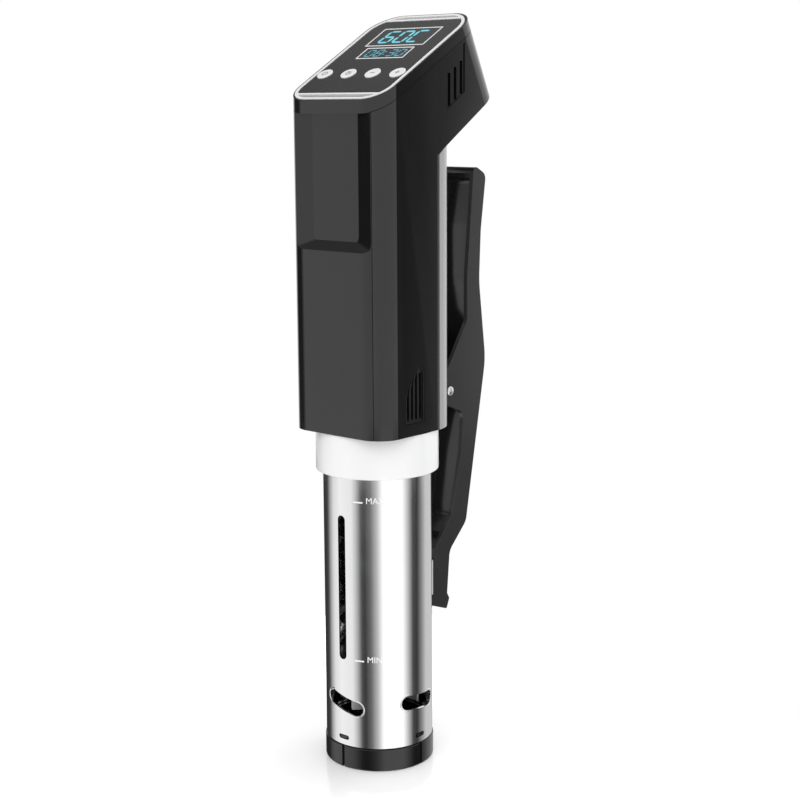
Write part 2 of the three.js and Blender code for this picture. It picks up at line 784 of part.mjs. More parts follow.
function trimRing() {
  const ringMiddle = alongZ(trimOutline(trimWidth / 2), seatDepth, trimProud, 4);
  const bars = [crossbarFront, crossbarRear].map((v) => {
    const across = [v - crossbarWidth / 2, v + crossbarWidth / 2];
    return box([-trimHalfWidth, trimHalfWidth], across, [seatDepth, trimProud]).intersect(ringMiddle);
  });
  const opening = alongZ(trimOutline(trimWidth), seatDepth - 1, trimProud + 1, 4);
  return join(alongZ(trimOutline(0), seatDepth, trimProud, 4).subtract(opening), ...bars);
}

function panelOverlay() {
  const from = crossbarFront + crossbarWidth / 2 + gap;
  const to = crossbarRear - crossbarWidth / 2 - gap;
  const edge = box([-trimHalfWidth, trimHalfWidth], [from, to], [-3, 1]);
  let overlay = alongZ(trimOutline(trimWidth + gap), seatDepth, 0, 4).intersect(edge);
  for (const window of [largeWindow, smallWindow]) {
    overlay = overlay.subtract(alongZ(windowRect(window, 0), -3, 1));
  }
  for (const u of buttonPlaces) {
    overlay = overlay.subtract(alongZ(circle(buttonHole, u, buttonRow), -3, 1, 8));
  }
  return overlay;
}

function displayWindow(window) {
  return alongZ(windowRect(window, -gap), seatDepth, -0.1);
}

function displayModule(window) {
  return alongZ(windowRect(window, -1.6 - gap), -boardDepth + gap, seatDepth - gap);
}

const switchHeight = 1.6;
const flangeTop = -underLid - gap;
const flangeThickness = 1;

function displayBoard() {
  const outline = panelRect(30.2 - wall, -30, 46.2 - wall, 3);
  let board = alongZ(outline, -boardDepth - boardThickness, -boardDepth);
  for (const u of buttonPlaces) {
    const height = [-boardDepth - 0.5, -boardDepth + switchHeight];
    board = board.add(box([u - 3, u + 3], [buttonRow - 3, buttonRow + 3], height));
  }
  for (const [u, v] of boardPosts) {
    board = board.subtract(alongZ(circle(screwHole, u, v), -boardDepth - 5, -boardDepth + 1, 6));
  }
  return board;
}

function button() {
  const bottom = flangeTop - flangeThickness;
  const profile = [
    [0, bottom], [flangeRadius, bottom], [flangeRadius, flangeTop], [buttonRadius, flangeTop],
    [buttonRadius, buttonProud - 0.3], [buttonRadius - 0.5, buttonProud], [0, buttonProud],
  ];
  return turned(profile, 16);
}

add('top_lid', topLid(), materials.blackGloss);
add('trim_ring', trimRing(), materials.whiteGloss, panel);
add('panel_overlay', panelOverlay(), materials.panelGrey, panel);
add('display_window_large', displayWindow(largeWindow), materials.displayBlack, panel);
add('display_window_small', displayWindow(smallWindow), materials.displayBlack, panel);
add('display_module_large', displayModule(largeWindow), materials.panelGrey, panel);
add('display_module_small', displayModule(smallWindow), materials.panelGrey, panel);
add('display_board', displayBoard(), materials.boardGreen, panel);
buttonPlaces.forEach((u, i) => {
  add(`button_${i + 1}`, button(), materials.whiteGloss, panel).position.set(u, buttonRow, 0);
});
boardPosts.forEach(([u, v], i) => {
  const mesh = add(`board_screw_${i + 1}`, screw(2.4, 1.6, screwShank, 4.6), materials.darkSteel, panel);
  mesh.position.set(u, v, -boardDepth - boardThickness - gap);
  mesh.rotation.x = Math.PI;
});

// ---------------------------------------------------------------- cord gland at the back of the head
const cordRadius = 3.2;
const glandProfile = [
  [cordRadius, -5], [glandRadius, -5], [glandRadius, gap], [7, gap], [7, 2], [5.4, 3.4], [cordRadius, 3.4],
  [cordRadius, -5],
];
add('cord_gland', onHeadBack(turned(glandProfile, 16)), materials.rubber);

// ---------------------------------------------------------------- drive: shaft, impeller, motor and fan
const jointHeight = 184;
const fanTop = fanBottom + 8;

function impeller() {
  const hub = 5;
  const plate = 1.6;
  const bladeCount = 6;
  const bladeCentre = 14;
  const bladeArc = { inner: 10.8, outer: 12.2, from: Math.PI * 0.35, to: Math.PI * 0.92 };
  const bottom = windowHeight - impellerHeight / 2;
  const top = bottom + impellerHeight;
  let wheel = disc(hub, bottom, top, 16).add(disc(impellerRadius, top - plate, top, 24));
  for (let i = 0; i < bladeCount; i += 1) {
    const shape = new THREE.Shape();
    shape.absarc(bladeCentre, 0, bladeArc.outer, bladeArc.from, bladeArc.to);
    shape.absarc(bladeCentre, 0, bladeArc.inner, bladeArc.to, bladeArc.from, true);
    const blade = alongZ(shape, bottom, top - 1).intersect(disc(impellerRadius, bottom, top, 24));
    wheel = wheel.add(rotated(blade, i * 360 / bladeCount));
  }
  return wheel.subtract(disc(bushingBore, bottom - 1, top + 1, 16));
}

function coolingFan() {
  let fan = disc(6, fanBottom, fanTop, 16);
  for (let i = 0; i < 7; i += 1) {
    const blade = box([4, fanRadius], [-0.7, 0.7], [-4.4, 4.4]).rotate([38, 0, 0]);
    fan = fan.add(rotated(blade.translate([0, 0, (fanBottom + fanTop) / 2]), i * 360 / 7));
  }
  return fan.subtract(disc(bushingBore, fanBottom - 5, fanTop + 5, 16));
}

function motor() {
  const top = motorBottom + motorLength;
  const profile = [
    [bushingBore, motorBottom], [motorRadius - 1, motorBottom], [motorRadius, motorBottom + 1],
    [motorRadius, top - 1], [motorRadius - 1, top], [6, top], [6, top + 2.5], [bushingBore, top + 2.5],
    [bushingBore, motorBottom],
  ];
  return turned(profile, 20);
}

function motorMount() {
  const bottom = floorTop + gap;
  const seat = motorBottom - gap;
  const profile = [
    [couplingRadius + 1, bottom], [mountRadius, bottom], [mountRadius, seat], [motorRadius + gap + 1.4, seat],
    [motorRadius + gap + 1.4, seat + 4], [motorRadius + gap, seat + 4], [motorRadius + gap, seat],
    [couplingRadius + 1, seat], [couplingRadius + 1, bottom],
  ];
  let mount = turned(profile, 20);
  mount = mount.subtract(holesAt(plugScrewCircle, plugScrewAngles, screwHole, bottom - 1, seat + 1));
  mount = mount.subtract(holesAt(collarScrewCircle, collarScrewAngles, 2, bottom - 1, bottom + 1.2));
  return mount;
}

add('drive_shaft', disc(shaftRadius, capFloor + 2, jointHeight - gap / 2, 16), materials.steel);
add('motor_shaft', disc(shaftRadius, jointHeight + gap / 2, fanTop + 3, 16), materials.steel);
const coupling = ring(bushingBore, couplingRadius, jointHeight - 8, jointHeight + 5, 16);
add('shaft_coupling', coupling, materials.brass);
add('impeller', impeller(), materials.pump);
add('cooling_fan', coolingFan(), materials.blackMatte);
add('motor', motor(), materials.darkSteel);
add('motor_mount', motorMount(), materials.rubber);
plugScrewAngles.forEach((angle, i) => {
  const mesh = add(`plug_screw_${i + 1}`, screw(1.9, 1.6, screwShank, 13), materials.darkSteel);
  mesh.position.copy(polar(plugScrewCircle, angle, motorBottom));
});

// ---------------------------------------------------------------- heater and probes
const legTop = collarTop - 0.6;

// One rod: down inside the coil, round the bottom, up the helix and out through the plug.
function heaterCoil() {
  const [, startAngle] = heaterLegs.hot;
  const points = [];
  for (const height of [legTop, 150, 110, coilBottom + 4]) {
    points.push(polar(returnLegRadius, startAngle, height));
  }
  points.push(polar(returnLegRadius + 2, startAngle + 20, coilBottom - 1));
  points.push(polar(coilRadius - 3, startAngle + 55, coilBottom - 2.5));
  const helixStart = startAngle + 90;
  const helixTurn = coilTurns * 360 - 90;
  const pointsPerTurn = 8;
  const count = Math.round(helixTurn / 360 * pointsPerTurn);
  for (let i = 0; i <= count; i += 1) {
    const share = i / count;
    const height = coilBottom + share * (coilTop - coilBottom);
    points.push(polar(coilRadius, helixStart + share * helixTurn, height));
  }
  for (const height of [coilTop + 12, coilTop + 24, legTop]) {
    points.push(polar(coilRadius, startAngle, height));
  }
  return pipe(new THREE.CatmullRomCurve3(points, false, 'centripetal'), coilWire, 90, 5);
}

add('heater_coil', heaterCoil(), materials.darkSteel);
for (const { name, angle, radius, bottom } of probes) {
  const place = polar(probeCircle, angle, 0);
  const profile = [
    [0, bottom], [radius * 0.6, bottom + 0.3], [radius, bottom + 1.2],
    [radius, plugTop - gap], [0, plugTop - gap],
  ];
  add(name, turned(profile, 10), materials.steel).position.copy(place);
}

// ---------------------------------------------------------------- electronics in the column
const componentFace = boardBack + gap;

function mainBoard() {
  const outline = panelRect(boardHalfWidth, mainBoardBottom, mainBoardTop - 1, 2);
  return alongY(outline, boardBack - boardThickness, boardBack);
}

function heatSink() {
  const bottom = 292;
  const top = 322;
  let sink = box([-15, 15], [componentFace, componentFace + 4], [bottom, top]);
  for (let x = -13.8; x < 15; x += 4.6) {
    sink = sink.add(box([x - 0.8, x + 0.8], [componentFace + 3.5, componentFace + 15], [bottom, top]));
  }
  return sink;
}

function transformer() {
  const laminations = box([-14, 14], [componentFace, componentFace + 20], [258, 282]);
  const winding = box([-10, 10], [componentFace + 1, componentFace + 24], [262, 278]);
  return laminations.add(winding);
}

add('main_board', mainBoard(), materials.boardGreen);
add('heat_sink', heatSink(), materials.darkSteel);
add('transformer', transformer(), materials.copper);
add('relay', box([16, 26], [componentFace, componentFace + 15], [250, 268]), materials.displayBlack);
add('capacitor', alongY(circle(5, -21, 262), componentFace, componentFace + 16, 8), materials.displayBlack);

// ---------------------------------------------------------------- clip
const pinY = housingRear + pinSetback;

const foot = tubeRadius + footClearance;
const padSeat = 2.4;
const padTop = -92;
const padBottom = -112.6;

// The lever's side outline follows the tube at its foot and the pin everywhere else.
function leverOutline() {
  const at = (y, z, radius) => [pinY + y, pinHeight + z, radius];
  const jaw = (y, z, radius = 0) => [foot + y, pinHeight + z, radius];
  return rounded([
    at(20.5, 121.4, 2.5), at(14.8, 60, 90), at(15, 37, 8), at(0, 15, 10), at(-5.8, 8.4, 3), at(-5.8, -6.6, 3),
    at(11.9, -13.5, 6), at(10, -37, 60), at(2.2, -69, 14),
    jaw(4.5, -85.5), jaw(0.6, -86), jaw(0.6, -90.5), jaw(padSeat, padTop), jaw(padSeat, padBottom),
    jaw(0, -113.6), jaw(0, -118), jaw(13.5, -123, 1), jaw(15.9, -117.4, 1), jaw(14, -114), jaw(16.2, -90, 8),
    at(14.4, -76, 8), at(31.4, 14, 40), at(25.6, 58, 60), at(26.9, 86, 60), at(31.2, 115.8, 4.5),
  ]);
}

// What the channel leaves empty between its cheeks, in front of the web.
function leverHollow() {
  const at = (y, z, radius) => [pinY + y - leverWall, pinHeight + z, radius];
  return rounded([
    [0, pinHeight - 82], at(6, -82), at(14, -73, 6), at(31.2, 14, 40), at(25.6, 58, 60), at(26.7, 86, 60),
    at(31, 112.4, 3), at(20.5, 117.9), [0, pinHeight + 117.9],
  ]);
}

// A soft pad in the jaw's recess.
function clipPad() {
  const half = leverHalfWidth - 0.2;
  const [seat, face] = [foot + padSeat - gap, foot + 0.2];
  const [bottom, top] = [pinHeight + padBottom + gap, pinHeight + padTop - gap];
  return alongX(polygon([[face, bottom], [seat, bottom], [seat, top], [face, top - 1]]), -half, half);
}

function clipLever() {
  const inner = leverHalfWidth - leverWall;
  return alongX(leverOutline(), -leverHalfWidth, leverHalfWidth, 2)
    .subtract(alongX(leverHollow(), -inner, inner, 2))
    .subtract(alongX(circle(pinRadius + gap, pinY, pinHeight), -leverHalfWidth - 1, leverHalfWidth + 1, 6));
}

function clipBracket() {
  const face = housingRear + gap;
  const earShape = rounded([
    [face, pinHeight - bracketHalfHeight, 1], [face + 3, pinHeight - bracketHalfHeight],
    [pinY, pinHeight - 5.4, 3], [pinY + 5, pinHeight - 5, 4.6],
    [pinY + 5, pinHeight + 5, 4.6],
    [face + 3, pinHeight + bracketHalfHeight], [face, pinHeight + bracketHalfHeight, 1],
  ]);
  const plateHeight = [pinHeight - bracketHalfHeight, pinHeight + bracketHalfHeight];
  let bracket = box([-bracketHalfWidth, bracketHalfWidth], [face, face + bracketPlate], plateHeight);
  bracket = bracket.add(alongX(earShape, bracketHalfWidth - earThickness, bracketHalfWidth, 3));
  bracket = bracket.add(alongX(earShape, -bracketHalfWidth, -bracketHalfWidth + earThickness, 3));
  bracket = bracket.subtract(alongX(circle(pinRadius + gap, pinY, pinHeight), -20, 20, 6));
  for (const height of bracketScrewHeights) {
    bracket = bracket.subtract(alongY(circle(screwHole, 0, height), face - 1, face + bracketPlate + 1, 6));
  }
  return bracket;
}

function hingePin() {
  const reach = leverHalfWidth + gap;
  const head = 0.9;
  const profile = [
    [0, -reach - head], [pinHeadRadius - 0.5, -reach - head], [pinHeadRadius, -reach], [pinRadius, -reach],
    [pinRadius, reach], [pinHeadRadius, reach], [pinHeadRadius - 0.5, reach + head], [0, reach + head],
  ];
  return turned(profile, 16).rotate([0, 90, 0]).translate([0, pinY, pinHeight]);
}

function torsionSpring() {
  const span = bracketHalfWidth - earThickness - springWire - gap;
  const points = [new THREE.Vector3(-span, pinY - 6.5, pinHeight + springRadius)];
  const steps = springTurns * 10;
  for (let i = 0; i <= steps; i += 1) {
    const share = i / steps;
    const angle = Math.PI / 2 - share * springTurns * 2 * Math.PI;
    const x = -span + share * 2 * span;
    const y = pinY + springRadius * Math.cos(angle);
    points.push(new THREE.Vector3(x, y, pinHeight + springRadius * Math.sin(angle)));
  }
  points.push(new THREE.Vector3(span, pinY + 14, pinHeight + springRadius + 4));
  return pipe(new THREE.CatmullRomCurve3(points, false, 'centripetal'), springWire, 50, 4);
}

add('clip_bracket', clipBracket(), materials.blackMatte);
add('hinge_pin', hingePin(), materials.steel);
add('torsion_spring', torsionSpring(), materials.steel);
add('clip_lever', clipLever(), materials.blackMatte);
add('clip_pad', clipPad(), materials.pump);
bracketScrewHeights.forEach((height, i) => {
  const mesh = add(`bracket_screw_${i + 1}`, screw(2.2, 1.4, screwShank, 9), materials.darkSteel);
  mesh.position.set(0, housingRear + gap + bracketPlate + gap, height);
  mesh.rotation.x = -Math.PI / 2;
});

export default circulator;
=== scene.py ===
import math

import bpy
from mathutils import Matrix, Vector


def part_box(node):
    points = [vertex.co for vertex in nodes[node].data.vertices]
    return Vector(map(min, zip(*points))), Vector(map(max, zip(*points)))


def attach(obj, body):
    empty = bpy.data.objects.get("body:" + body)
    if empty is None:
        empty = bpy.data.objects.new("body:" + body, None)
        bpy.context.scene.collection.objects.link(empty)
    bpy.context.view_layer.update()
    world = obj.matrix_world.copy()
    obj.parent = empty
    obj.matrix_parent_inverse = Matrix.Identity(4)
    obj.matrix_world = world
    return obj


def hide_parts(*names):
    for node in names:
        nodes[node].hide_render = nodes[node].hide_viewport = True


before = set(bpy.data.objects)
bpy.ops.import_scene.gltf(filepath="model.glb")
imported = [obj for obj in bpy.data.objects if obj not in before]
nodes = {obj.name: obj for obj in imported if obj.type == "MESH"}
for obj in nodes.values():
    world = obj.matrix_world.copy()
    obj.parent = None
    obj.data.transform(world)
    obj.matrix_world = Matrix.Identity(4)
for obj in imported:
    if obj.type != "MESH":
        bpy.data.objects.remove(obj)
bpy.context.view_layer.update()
mm = 0.001
fullTurn = 2 * math.pi
# how far cutters reach when they go right through a piece, from side to side and through the panel
allWidth = (-40 * mm, 40 * mm)
allDepth = (-5 * mm, 5 * mm)

# ---- places read from the frame
tubeLow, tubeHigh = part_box("skirt_tube")
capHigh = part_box("base_cap")[1]
collarLow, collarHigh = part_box("collar")
shellLow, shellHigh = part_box("body_shell")
pinLow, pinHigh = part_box("hinge_pin")
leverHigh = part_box("clip_lever")[1]
impellerLow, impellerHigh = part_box("impeller")
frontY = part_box("front_cover")[0].y
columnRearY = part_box("rear_cover")[1].y
pinCentre = (pinLow + pinHigh) / 2


# ---- modelling helpers
def letGo():
    active = bpy.context.view_layer.objects.active
    if active and active.mode != "OBJECT":
        bpy.ops.object.mode_set(mode="OBJECT")
    bpy.ops.object.select_all(action="DESELECT")


def pick(piece):
    letGo()
    piece.select_set(True)
    bpy.context.view_layer.objects.active = piece


def settle(piece):
    # place, turn and size go into the mesh
    pick(piece)
    bpy.ops.object.transform_apply(location=True, rotation=True, scale=True)
    return piece


def modify(piece, kind, **settings):
    pick(piece)
    modifier = piece.modifiers.new(kind.lower(), kind)
    for key, value in settings.items():
        setattr(modifier, key, value)
    bpy.ops.object.modifier_apply(modifier=modifier.name)
    return piece


def combine(piece, other, operation, keep=False):
    modify(piece, "BOOLEAN", operation=operation, object=other, solver="EXACT")
    if not keep:
        bpy.data.objects.remove(other)
    return piece


def cutAway(piece, cutter):
    return combine(piece, cutter, "DIFFERENCE")


def weld(piece, other):
    return combine(piece, other, "UNION")


def keepCommon(piece, other, keep=False):
    return combine(piece, other, "INTERSECT", keep)


def copyOf(piece, name):
    other = piece.copy()
    other.data = piece.data.copy()
    other.name = name
    bpy.context.scene.collection.objects.link(other)
    return other


def joinAll(pieces, name):
    # separate bodies that make up one piece
    pick(pieces[0])
    for other in pieces[1:]:
        other.select_set(True)
    bpy.ops.object.join()
    pieces[0].name = name
    return pieces[0]


def openMesh(piece, action="SELECT", kind="VERT"):
    pick(piece)
    bpy.ops.object.mode_set(mode="EDIT")
    bpy.ops.mesh.select_mode(type=kind)
    bpy.ops.mesh.select_all(action=action)


def closeMesh(piece):
    bpy.ops.object.mode_set(mode="OBJECT")
    return piece


def mendNormals(piece):
    openMesh(piece)
    bpy.ops.mesh.remove_doubles(threshold=0.002 * mm)
    bpy.ops.mesh.normals_make_consistent(inside=False)
    return closeMesh(piece)


def addBlock(name, low, high):
    letGo()
    low, high = Vector(low), Vector(high)
    bpy.ops.mesh.primitive_cube_add(size=1, location=(low + high) / 2)
    block = bpy.context.active_object
    block.name = name
    block.scale = high - low
    return settle(block)


def selectEdges(piece, test):
    # leaves the piece in edit mode with the edges that pass the test
    openMesh(piece, "DESELECT", "EDGE")
    closeMesh(piece)
    points = [vertex.co for vertex in piece.data.vertices]
    for edge in piece.data.edges:
        start, end = (points[i] for i in edge.vertices)
        edge.select = test(start, end)
    bpy.ops.object.mode_set(mode="EDIT")


def bevelWhere(piece, test, radius, segments=16):
    selectEdges(piece, test)
    bpy.ops.mesh.bevel(offset=radius, segments=segments, profile=0.5, affect="EDGES")
    return closeMesh(piece)


def roundUprights(block, radius, rear):
    def upright(start, end):
        return abs(start.z - end.z) > 10 * mm and (start.y > 1 * mm) == rear

    return bevelWhere(block, upright, radius)


def drawOutline(name, points, filled=True):
    # one point is drawn out along the outline; the piece stays in edit mode
    letGo()
    bpy.ops.mesh.primitive_plane_add(size=1 * mm, location=points[0])
    piece = bpy.context.active_object
    piece.name = name
    openMesh(settle(piece))
    bpy.ops.mesh.merge(type="CENTER")
    for start, end in zip(points, points[1:]):
        step = Vector(end) - Vector(start)
        bpy.ops.mesh.extrude_vertices_move(TRANSFORM_OT_translate={"value": step})
    bpy.ops.mesh.select_all(action="SELECT")
    if filled:
        bpy.ops.mesh.edge_face_add()
    return piece


def prism(name, outline, axis, start, end):
    # an outline drawn across an axis and drawn out along it
    places = {
        "X": lambda a, b: (start, a, b),
        "Y": lambda a, b: (a, start, b),
        "Z": lambda a, b: (a, b, start),
    }
    directions = {"X": Vector((1, 0, 0)), "Y": Vector((0, 1, 0)), "Z": Vector((0, 0, 1))}
    piece = drawOutline(name, [places[axis](a, b) for a, b in outline])
    bpy.ops.mesh.extrude_region_move(TRANSFORM_OT_translate={"value": directions[axis] * (end - start)})
    return mendNormals(piece)


def turned(name, profile, segments=96):
    # a profile of radius and height, spun round the upright axis
    piece = drawOutline(name, [(radius, 0, height) for radius, height in profile], filled=False)
    bpy.ops.mesh.spin(steps=segments, angle=fullTurn, center=(0, 0, 0), axis=(0, 0, 1))
    return mendNormals(piece)


def roundedOutline(corners, steps=6):
    # corners are across, up and radius; each arc is worked out from its two sides
    points = []
    for i, (across, up, radius) in enumerate(corners):
        corner = Vector((across, up))
        if radius == 0:
            points.append(corner)
            continue
        before = (Vector(corners[i - 1][:2]) - corner).normalized()
        after = (Vector(corners[(i + 1) % len(corners)][:2]) - corner).normalized()
        half = math.acos(max(-1, min(1, before.dot(after)))) / 2
        centre = corner + (before + after).normalized() * (radius / math.sin(half))
        arms = [corner + side * (radius / math.tan(half)) - centre for side in (before, after)]
        first, last = (math.atan2(arm.y, arm.x) for arm in arms)
        sweep = (last - first + math.pi) % fullTurn - math.pi
        for k in range(steps + 1):
            angle = first + sweep * k / steps
            points.append(centre + radius * Vector((math.cos(angle), math.sin(angle))))
    return [(point.x, point.y) for point in points]


def rectangle(halfWidth, low, high, radius, steps=6):
    corners = [(-halfWidth, low), (halfWidth, low), (halfWidth, high), (-halfWidth, high)]
    if radius == 0:
        return corners
    return roundedOutline([(across, up, radius) for across, up in corners], steps)


def insetOutline(points, distances):
    # each side of an outline that runs anticlockwise, moved inwards by its own distance
    sides = []
    for i, point in enumerate(points):
        start = Vector(point)
        direction = (Vector(points[(i + 1) % len(points)]) - start).normalized()
        inward = Vector((-direction.y, direction.x))
        sides.append((start + inward * distances[i], direction))
    moved = []
    for i, (start, direction) in enumerate(sides):
        before, beforeDirection = sides[i - 1]
        offset = start - before
        across = beforeDirection.x * direction.y - beforeDirection.y * direction.x
        along = (offset.x * direction.y - offset.y * direction.x) / across
        moved.append(tuple(before + beforeDirection * along))
    return moved


def slotOutline(length, width, steps=16):
    reach = (length - width) / 2
    points = []
    for side, turn in ((1, -0.25), (-1, 0.25)):
        for k in range(steps + 1):
            angle = fullTurn * (turn + 0.5 * k / steps)
            points.append((side * reach + width / 2 * math.cos(angle), width / 2 * math.sin(angle)))
    return points


def circleOutline(radius, across=0.0, up=0.0, steps=32):
    turns = [fullTurn * k / steps for k in range(steps)]
    return [(across + radius * math.cos(turn), up + radius * math.sin(turn)) for turn in turns]


def arcPoints(across, up, radius, turns):
    # points round a centre, at angles in degrees
    return [(across + radius * math.cos(a), up + radius * math.sin(a)) for a in map(math.radians, turns)]


def turnedRound(piece, degrees):
    piece.rotation_euler.z = math.radians(degrees)
    return settle(piece)


def softenEdges(piece, width, segments=2, angle=14):
    # a small moulded radius on the sharp edges
    return modify(
        piece, "BEVEL", width=width, segments=segments, limit_method="ANGLE",
        angle_limit=math.radians(angle), use_clamp_overlap=True, miter_outer="MITER_ARC",
    )


def smooth(piece, angle=35, weighted=True):
    pick(piece)
    bpy.ops.object.shade_smooth_by_angle(angle=math.radians(angle))
    if weighted:
        modify(piece, "WEIGHTED_NORMAL", keep_sharp=True, weight=100)
    return piece


def roundNormals(piece):
    # a turned wall shades as a true cylinder, holes or not
    mesh = piece.data
    normals = [Vector(corner.vector) for corner in mesh.corner_normals]
    for face in mesh.polygons:
        if abs(face.normal.z) > 0.05:
            continue
        for loopIndex in face.loop_indices:
            point = mesh.vertices[mesh.loops[loopIndex].vertex_index].co
            outward = Vector((point.x, point.y, 0)).normalized()
            lean = face.normal.dot(outward)
            if abs(lean) > 0.995:
                normals[loopIndex] = outward if lean > 0 else -outward
    mesh.normals_split_custom_set(normals)
    return piece


def rod(name, points, radius, sides=16, cyclic=False):
    # a bent rod or wire along a smooth line
    line = bpy.data.curves.new(name, "CURVE")
    line.dimensions = "3D"
    line.bevel_depth = radius
    line.bevel_resolution = max(1, sides // 4 - 1)
    line.use_fill_caps = True
    line.resolution_u = 3
    spline = line.splines.new("NURBS")
    spline.points.add(len(points) - 1)
    for place, point in zip(spline.points, points):
        place.co = (*point, 1)
    spline.order_u = 3
    spline.use_endpoint_u = True
    spline.use_cyclic_u = cyclic
    piece = bpy.data.objects.new(name, line)
    bpy.context.scene.collection.objects.link(piece)
    pick(piece)
    bpy.ops.object.convert(target="MESH")
    return mendNormals(piece)


# ---- shared shader groups
socketKinds = {"Vector": "NodeSocketVector", "Color": "NodeSocketColor", "Rubbed": "NodeSocketColor"}


def newGroup(name, inputs, outputs):
    tree = bpy.data.node_groups.new(name, "ShaderNodeTree")
    for label, value in inputs.items():
        kind = socketKinds.get(label, "NodeSocketFloat")
        socket = tree.interface.new_socket(label, in_out="INPUT", socket_type=kind)
        if value is not None:
            socket.default_value = value
    for label in outputs:
        kind = socketKinds.get(label, "NodeSocketFloat")
        tree.interface.new_socket(label, in_out="OUTPUT", socket_type=kind)
    return tree, tree.nodes.new("NodeGroupInput"), tree.nodes.new("NodeGroupOutput")


def addNode(tree, kind, values=None, **settings):
    node = tree.nodes.new(kind)
    for key, value in settings.items():
        setattr(node, key, value)
    for socket, value in (values or {}).items():
        node.inputs[socket].default_value = value
    return node


def wire(tree, *pairs):
    for start, end in pairs:
        tree.links.new(start, end)


def feed(tree, start, end, *names):
    # sockets that have the same name on both nodes
    for name in names:
        tree.links.new(start.outputs[name], end.inputs[name])


def addMath(tree, operation, first, second=None, third=None):
    node = tree.nodes.new("ShaderNodeMath")
    node.operation = operation
    for socket, value in zip(node.inputs, (first, second, third)):
        if isinstance(value, (int, float)):
            socket.default_value = value
        elif value is not None:
            tree.links.new(value, socket)
    return node.outputs[0]


def mouldGrainGroup():
    # the fine pebble of a moulding, as a height
    tree, start, end = newGroup("mouldGrain", {"Vector": None, "Scale": 900.0, "Pebble": 0.5}, ["Height"])
    noise = addNode(tree, "ShaderNodeTexNoise", {"Detail": 3.0, "Roughness": 0.6})
    cells = addNode(tree, "ShaderNodeTexVoronoi", feature="SMOOTH_F1")
    for texture in (noise, cells):
        feed(tree, start, texture, "Vector", "Scale")
    pebble = addMath(tree, "MULTIPLY", cells.outputs["Distance"], start.outputs["Pebble"])
    height = addMath(tree, "ADD", noise.outputs["Fac"], pebble)
    wire(tree, (height, end.inputs["Height"]))
    return tree


def handlingGroup():
    # gloss that wanders, with faint wipe marks
    inputs = {"Vector": None, "Low": 0.2, "High": 0.3, "Scale": 30.0}
    tree, start, end = newGroup("handlingMarks", inputs, ["Roughness"])
    smudge = addNode(tree, "ShaderNodeTexNoise", {"Detail": 4.0, "Roughness": 0.55, "Distortion": 0.6})
    stretch = addNode(tree, "ShaderNodeMapping", {"Rotation": (0.3, 0.5, 0.2), "Scale": (1.0, 1.0, 0.12)})
    wipe = addNode(tree, "ShaderNodeTexNoise", {"Scale": 420.0, "Detail": 2.0})
    feed(tree, start, smudge, "Vector", "Scale")
    feed(tree, start, stretch, "Vector")
    feed(tree, stretch, wipe, "Vector")
    share = addMath(tree, "MULTIPLY_ADD", wipe.outputs["Fac"], 0.3, smudge.outputs["Fac"])
    spread = addNode(tree, "ShaderNodeMapRange", {"From Min": 0.4, "From Max": 0.9})
    wire(tree, (share, spread.inputs["Value"]), (start.outputs["Low"], spread.inputs["To Min"]))
    wire(tree, (start.outputs["High"], spread.inputs["To Max"]), (spread.outputs[0], end.inputs["Roughness"]))
    return tree


def toneGroup():
    # a slight drift of lightness, and paler rubbed edges
    inputs = {"Vector": None, "Color": (0.5, 0.5, 0.5, 1), "Rubbed": (0.6, 0.6, 0.6, 1),
              "Drift": 0.1, "Rub": 0.2, "Scale": 25.0}
    tree, start, end = newGroup("toneAndRub", inputs, ["Color", "Mask"])
    noise = addNode(tree, "ShaderNodeTexNoise", {"Detail": 5.0, "Roughness": 0.6})
    feed(tree, start, noise, "Vector", "Scale")
    centred = addMath(tree, "SUBTRACT", noise.outputs["Fac"], 0.5)
    factor = addMath(tree, "MULTIPLY_ADD", centred, start.outputs["Drift"], 1.0)
    scaled = addNode(tree, "ShaderNodeVectorMath", operation="SCALE")
    wire(tree, (start.outputs["Color"], scaled.inputs[0]), (factor, scaled.inputs["Scale"]))
    geometry = addNode(tree, "ShaderNodeNewGeometry")
    edge = addNode(tree, "ShaderNodeMapRange", {"From Min": 0.53, "From Max": 0.62})
    wire(tree, (geometry.outputs["Pointiness"], edge.inputs["Value"]))
    broken = addMath(tree, "MULTIPLY", edge.outputs[0], noise.outputs["Fac"])
    mask = addMath(tree, "MULTIPLY", broken, start.outputs["Rub"])
    mix = addNode(tree, "ShaderNodeMix", data_type="RGBA")
    wire(tree, (mask, mix.inputs[0]), (scaled.outputs[0], mix.inputs[6]))
    wire(tree, (start.outputs["Rubbed"], mix.inputs[7]))
    wire(tree, (mix.outputs[2], end.inputs["Color"]), (mask, end.inputs["Mask"]))
    return tree


def latheLineGroup():
    # fine lines that run round a turned or polished tube
    tree, start, end = newGroup("latheLines", {"Vector": None, "Fineness": 9000.0}, ["Height", "Mask"])
    parts = addNode(tree, "ShaderNodeSeparateXYZ")
    wire(tree, (start.outputs["Vector"], parts.inputs[0]))
    angle = addMath(tree, "ARCTAN2", parts.outputs["Y"], parts.outputs["X"])
    around = addMath(tree, "MULTIPLY", angle, 6.0)
    along = addMath(tree, "MULTIPLY", parts.outputs["Z"], start.outputs["Fineness"])
    place = addNode(tree, "ShaderNodeCombineXYZ")
    wire(tree, (around, place.inputs["X"]), (along, place.inputs["Y"]))
    lines = addNode(tree, "ShaderNodeTexNoise", {"Scale": 1.0, "Detail": 3.0, "Roughness": 0.7})
    wire(tree, (place.outputs[0], lines.inputs["Vector"]), (lines.outputs["Fac"], end.inputs["Height"]))
    strong = addNode(tree, "ShaderNodeMapRange", {"From Min": 0.35, "From Max": 0.75})
    wire(tree, (lines.outputs["Fac"], strong.inputs["Value"]), (strong.outputs[0], end.inputs["Mask"]))
    return tree


